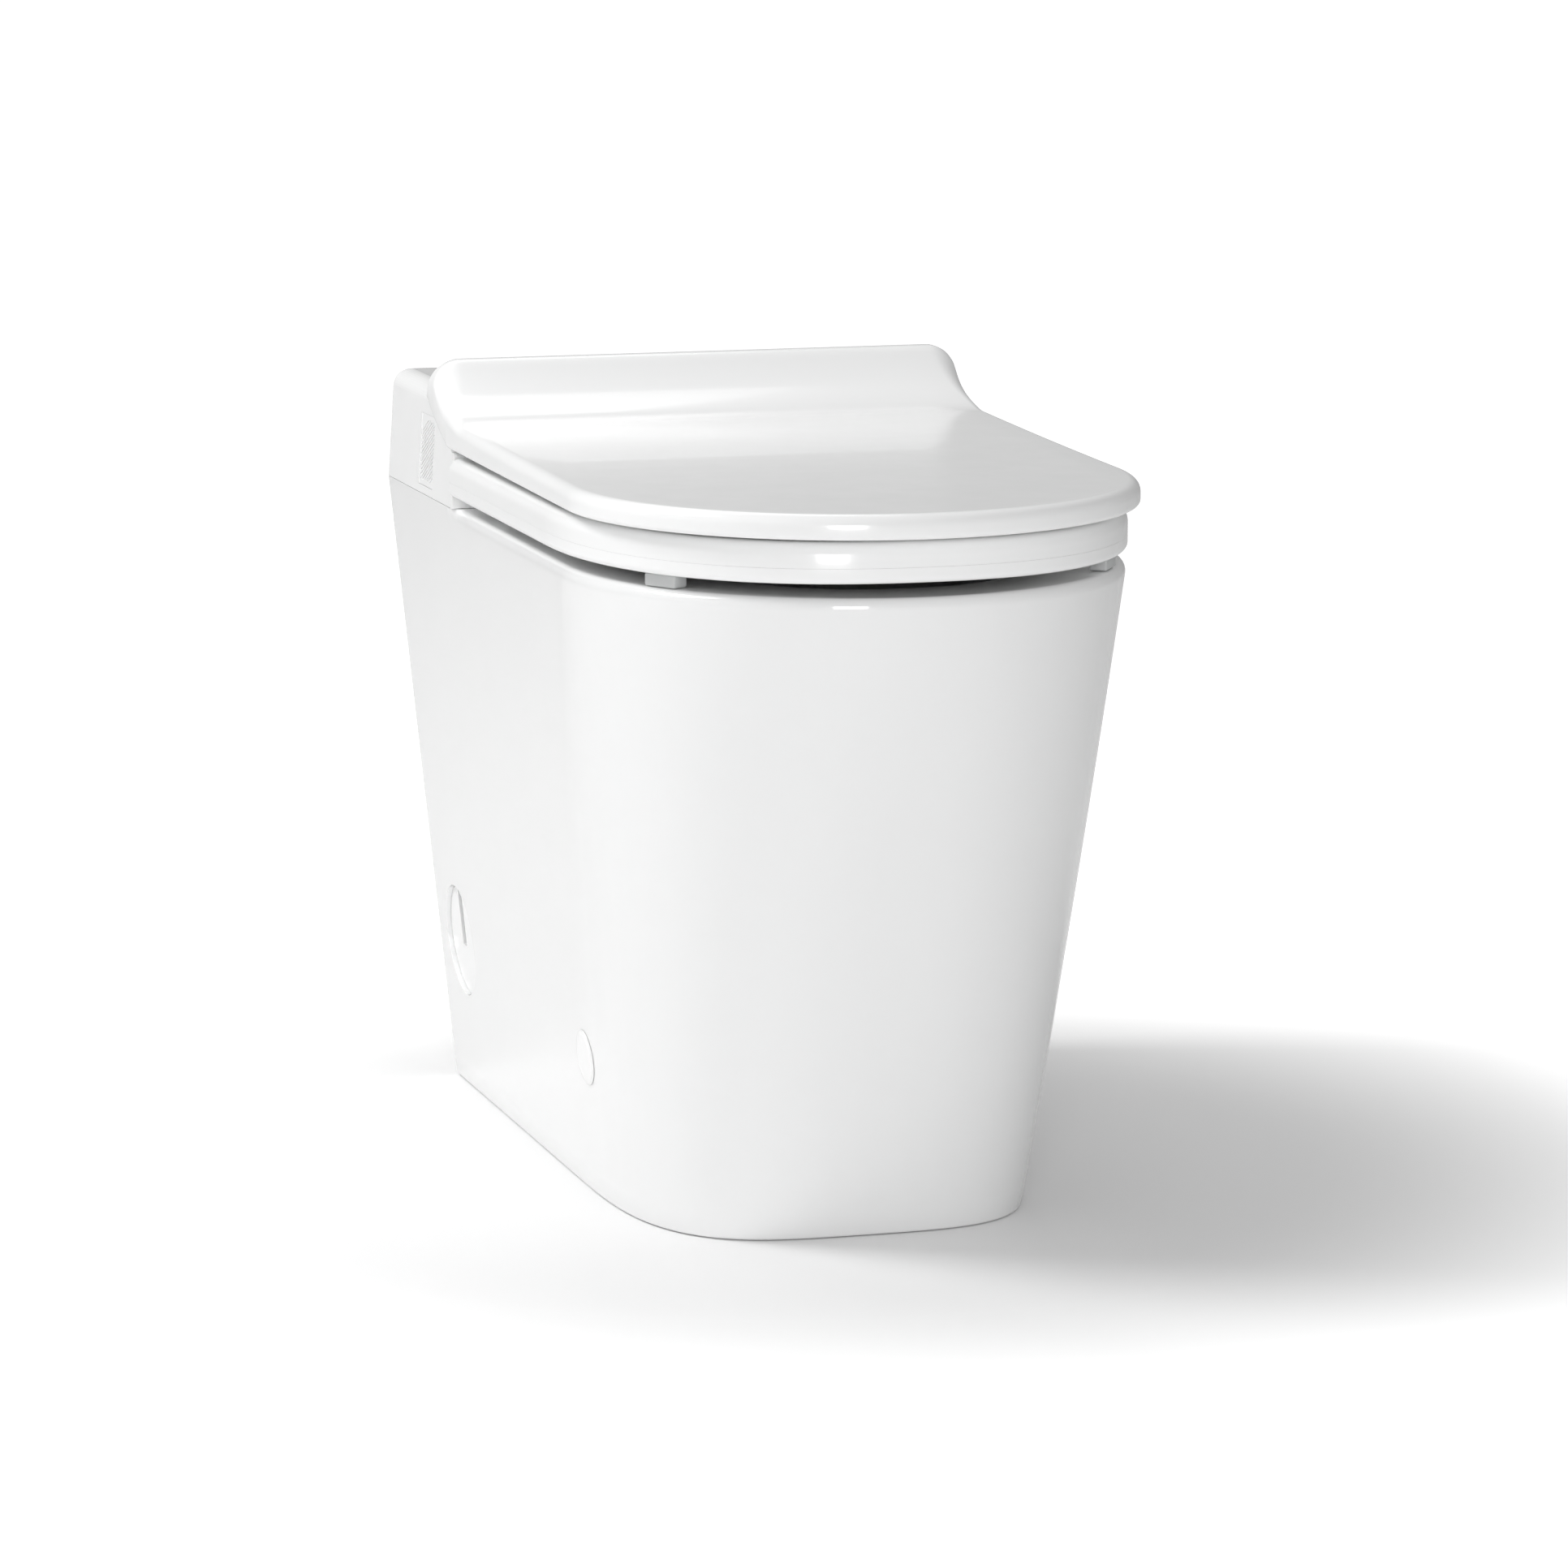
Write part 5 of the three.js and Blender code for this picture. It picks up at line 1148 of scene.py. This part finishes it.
# %% [markdown]
# ## Vent, panel and buttons
#
# The vent is a thin plate with a row of slanted slots between plain margins. Each slot is a thin
# block, turned by the slope of the slots. The panel is a grey plate with two round metal buttons,
# whose faces are slightly hollow so that a finger finds them.

# %% Vent grille
SLOT_COUNT, SLOT_TALL, SLOT_RISE, BAR = 18, 1.3 * MM, math.radians(29), 3 * MM
vent = finished("vent", leaning(pushed(vent_outline(0), 0, -HOUSING_WALL, -0.4 * MM), -1), "toilet",
                WHITE, stands_for=["vent_grille"])


def vent_slots():
    low, high = VENT_FRONT + BAR, VENT_REAR - BAR
    forms = []
    for i in range(SLOT_COUNT):
        z = mix(VENT_LOW + BAR + 0.4 * MM, VENT_HIGH + 6 * MM, i / (SLOT_COUNT - 1))
        forms.append(slot_form(z, low, high))
    return joined_form([form for form in forms if form])


def slot_form(z, low, high):
    """One slot: it climbs towards the front, and is clipped to the margins of the vent."""
    def edge(y):
        return z + (high - y) * math.tan(SLOT_RISE) - (high - low) * math.tan(SLOT_RISE)

    steps = [mix(low, high, k / 24) for k in range(25)]
    inside = [y for y in steps
              if edge(y) > VENT_LOW + BAR and edge(y) + SLOT_TALL < vent_ceiling(y) - BAR]
    if len(inside) < 4:
        return None
    front, rear = min(inside), max(inside)
    outline = [(front, edge(front)), (rear, edge(rear)), (rear, edge(rear) + SLOT_TALL),
               (front, edge(front) + SLOT_TALL)]
    return leaning(pushed(outline, 0, -HOUSING_WALL - 2 * MM, 2 * MM), -1)


cut(vent, [vent_slots()])

# %% Control panel and buttons
BUTTON_R, BUTTON_PROUD, BUTTON_OFFSET = 8 * MM, 0.9 * MM, 17 * MM
panel = finished("side_panel", leaning(pushed(panel_outline(0), 0, -2.2 * MM, 0), 1), "toilet",
                 PANEL_GREY, stands_for=["control_panel"])
wall_turn = math.atan(LEAN)
wall_out = Vector((math.cos(wall_turn), 0, math.sin(wall_turn)))
button_places = {name: Vector((housing_half(PANEL_Z), y, PANEL_Z))
                 for name, y in (("flush_button", PANEL_Y - BUTTON_OFFSET),
                                 ("wash_button", PANEL_Y + BUTTON_OFFSET))}
cut(panel, [cutter_rod(place - wall_out * 0.02, place + wall_out * 0.01, BUTTON_R + FIT, 64)
            for place in button_places.values()])
soft_edges(panel, 0.4 * MM)


def button_profile():
    deep, proud, radius, edge = -3.4 * MM, BUTTON_PROUD, BUTTON_R, 0.7 * MM
    rim = [(proud - edge * (1 - math.sin(a)), radius - edge * (1 - math.cos(a)))
           for a in [0.0] + quarter(4)]
    hollow = [(proud - 0.45 * MM * (1 - (r / 7.3) ** 2), r * MM) for r in (6.6, 5.5, 4.2, 2.8, 1.4, 0.0)]
    return [(deep, 0.0), (deep, radius)] + rim + hollow


for name, place in button_places.items():
    finished(name + "_cap", turned(button_profile(), place, place + wall_out, 64), f"{name}_body",
             BUTTON_METAL, stands_for=[name])

# %% [markdown]
# ## The spray wand
#
# The wand is a slim tube that slides down and forward out of its guide. Its tip is rounded, and two
# grey nozzle inserts lie in its upper side, one for each kind of wash.

# %% Wand and nozzles
WAND_SLOPE, WAND_R, WAND_LENGTH = math.radians(12), 7 * MM, 146 * MM
NOZZLE_R = 3 * MM
WAND_MOUTH = Vector((0, FACE - 6 * MM, RIM_HEIGHT + 16.5 * MM))
wand_back = Vector((0, math.cos(WAND_SLOPE), math.sin(WAND_SLOPE)))
wand_up = Vector((0, -math.sin(WAND_SLOPE), math.cos(WAND_SLOPE)))


def wand_profile():
    tip = [(WAND_R * (1 - math.cos(a)), WAND_R * math.sin(a)) for a in [0.0] + quarter(10)]
    return tip + [(WAND_LENGTH - 0.6 * MM, WAND_R), (WAND_LENGTH, WAND_R - 0.6 * MM), (WAND_LENGTH, 0.0)]


def nozzle_profile():
    low, high, radius, edge = 3.8 * MM, WAND_R - 0.2 * MM, NOZZLE_R, 0.4 * MM
    rim = [(high - edge * (1 - math.sin(a)), radius - edge * (1 - math.cos(a)))
           for a in [0.0] + quarter(3)]
    hole_floor = high - 1.2 * MM
    spray_hole = [(high, 1.0 * MM), (high - 0.1 * MM, 0.75 * MM), (hole_floor, 0.7 * MM),
                  (hole_floor, 0.0)]
    return [(low, 0.0), (low, radius)] + rim + spray_hole


wand = finished("wand_tube", turned(wand_profile(), WAND_MOUTH, WAND_MOUTH + wand_back, 64), "wand",
                SATIN_WHITE, stands_for=["spray_wand"])
for name, along in (("rear_nozzle", 13 * MM), ("front_nozzle", 26 * MM)):
    middle = WAND_MOUTH + wand_back * along
    bore_low, bore_high = middle + wand_up * 3.5 * MM, middle + wand_up * 12 * MM
    cut(wand, [cutter_rod(bore_low, bore_high, NOZZLE_R + FIT, 40)])
    finished(name + "_insert", turned(nozzle_profile(), middle, middle + wand_up, 40), "wand",
             NOZZLE_GREY, stands_for=[name])
soft_edges(wand, 0.25 * MM)

# %% Camera
# The camera stands to the left of the front and a little above the lid, and looks at the middle.
camera_data = bpy.data.cameras.new("camera")
camera_data.lens = 155.47
camera_data.sensor_width = 36
camera = bpy.data.objects.new("camera", camera_data)
camera.location = (-1.2472, -4.2851, 1.0316)
aim = Vector((0.00485, 0.00199, 0.26111))
camera.rotation_euler = (aim - camera.location).to_track_quat("-Z", "Y").to_euler()
bpy.context.collection.objects.link(camera)
bpy.context.scene.camera = camera


# %% [markdown]
# ## Studio
#
# White on white is lit like tableware: a soft source high on the left, a large one behind and above,
# one near the camera for the front, and a white room that fills every shadow. The floor is plain and
# pale. The left source throws one soft shadow to the right of the foot.

# %% Floor, room and lights
def whiten_with_distance(tree, shader):
    """To the camera alone, the floor glows far from the object and so runs into the white room."""
    place = tree.nodes.new("ShaderNodeTexCoord")
    distance = tree.nodes.new("ShaderNodeVectorMath")
    distance.operation = "LENGTH"
    glow = tree.nodes.new("ShaderNodeMapRange")
    glow.interpolation_type = "SMOOTHSTEP"
    glow.inputs["From Min"].default_value = 0.34
    glow.inputs["From Max"].default_value = 0.85
    glow.inputs["To Min"].default_value = 0.02
    glow.inputs["To Max"].default_value = 0.7
    tree.links.new(place.outputs["Object"], distance.inputs[0])
    tree.links.new(distance.outputs["Value"], glow.inputs["Value"])
    seen = tree.nodes.new("ShaderNodeLightPath")
    only_seen = tree.nodes.new("ShaderNodeMath")
    only_seen.operation = "MULTIPLY"
    tree.links.new(glow.outputs["Result"], only_seen.inputs[0])
    tree.links.new(seen.outputs["Is Camera Ray"], only_seen.inputs[1])
    tree.links.new(only_seen.outputs["Value"], shader.inputs["Emission Strength"])


def studio_floor():
    form = bmesh.new()
    bmesh.ops.create_grid(form, x_segments=1, y_segments=1, size=30)
    mesh = bpy.data.meshes.new("floor")
    form.to_mesh(mesh)
    form.free()
    floor = bpy.data.objects.new("floor", mesh)
    bpy.context.collection.objects.link(floor)
    look, shader = new_finish("pale_floor", (0.93, 0.93, 0.93), 0.7)
    shader.inputs["Specular IOR Level"].default_value = 0.2
    shader.inputs["Emission Color"].default_value = (1, 1, 1, 1)
    whiten_with_distance(look.node_tree, shader)
    mesh.materials.append(look)
    floor.location.z = -0.0005


def soft_source(name, place, size, power, target=(0, 0, 0.3)):
    data = bpy.data.lights.new(name, "AREA")
    data.shape = "RECTANGLE"
    data.size, data.size_y = size
    data.energy = power
    source = bpy.data.objects.new(name, data)
    source.location = place
    source.rotation_euler = (Vector(target) - Vector(place)).to_track_quat("-Z", "Y").to_euler()
    bpy.context.collection.objects.link(source)


studio_floor()
soft_source("left_source", (-1.65, 0.45, 2.2), (0.9, 0.9), 34)
soft_source("rear_source", (-0.3, 1.8, 3.0), (2.4, 1.6), 18)
soft_source("front_source", (-1.0, -3.6, 0.9), (0.9, 1.6), 38, target=(0, -0.2, 0.3))

# %% White room
# The room is seen in the gloss, so it is a gradient: bright above, greyer near the horizon.
room = bpy.data.worlds.new("white_room")
room.use_nodes = True
tree = room.node_tree
background = tree.nodes["Background"]
background.inputs["Strength"].default_value = 0.42
sky_place = tree.nodes.new("ShaderNodeTexCoord")
split = tree.nodes.new("ShaderNodeSeparateXYZ")
tone = tree.nodes.new("ShaderNodeValToRGB")
tone.color_ramp.elements[0].color = (0.86, 0.86, 0.86, 1)
tone.color_ramp.elements[1].color = (1, 1, 1, 1)
tree.links.new(sky_place.outputs["Generated"], split.inputs["Vector"])
tree.links.new(split.outputs["Z"], tone.inputs["Fac"])
tree.links.new(tone.outputs["Color"], background.inputs["Color"])
# Behind the object the room is plain white paper.
paper = tree.nodes.new("ShaderNodeBackground")
ray = tree.nodes.new("ShaderNodeLightPath")
choice = tree.nodes.new("ShaderNodeMixShader")
tree.links.new(ray.outputs["Is Camera Ray"], choice.inputs["Fac"])
tree.links.new(background.outputs["Background"], choice.inputs[1])
tree.links.new(paper.outputs["Background"], choice.inputs[2])
tree.links.new(choice.outputs["Shader"], tree.nodes["World Output"].inputs["Surface"])
paper.inputs["Color"].default_value = (1, 1, 1, 1)
bpy.context.scene.world = room
bpy.context.scene.view_settings.view_transform = "Standard"
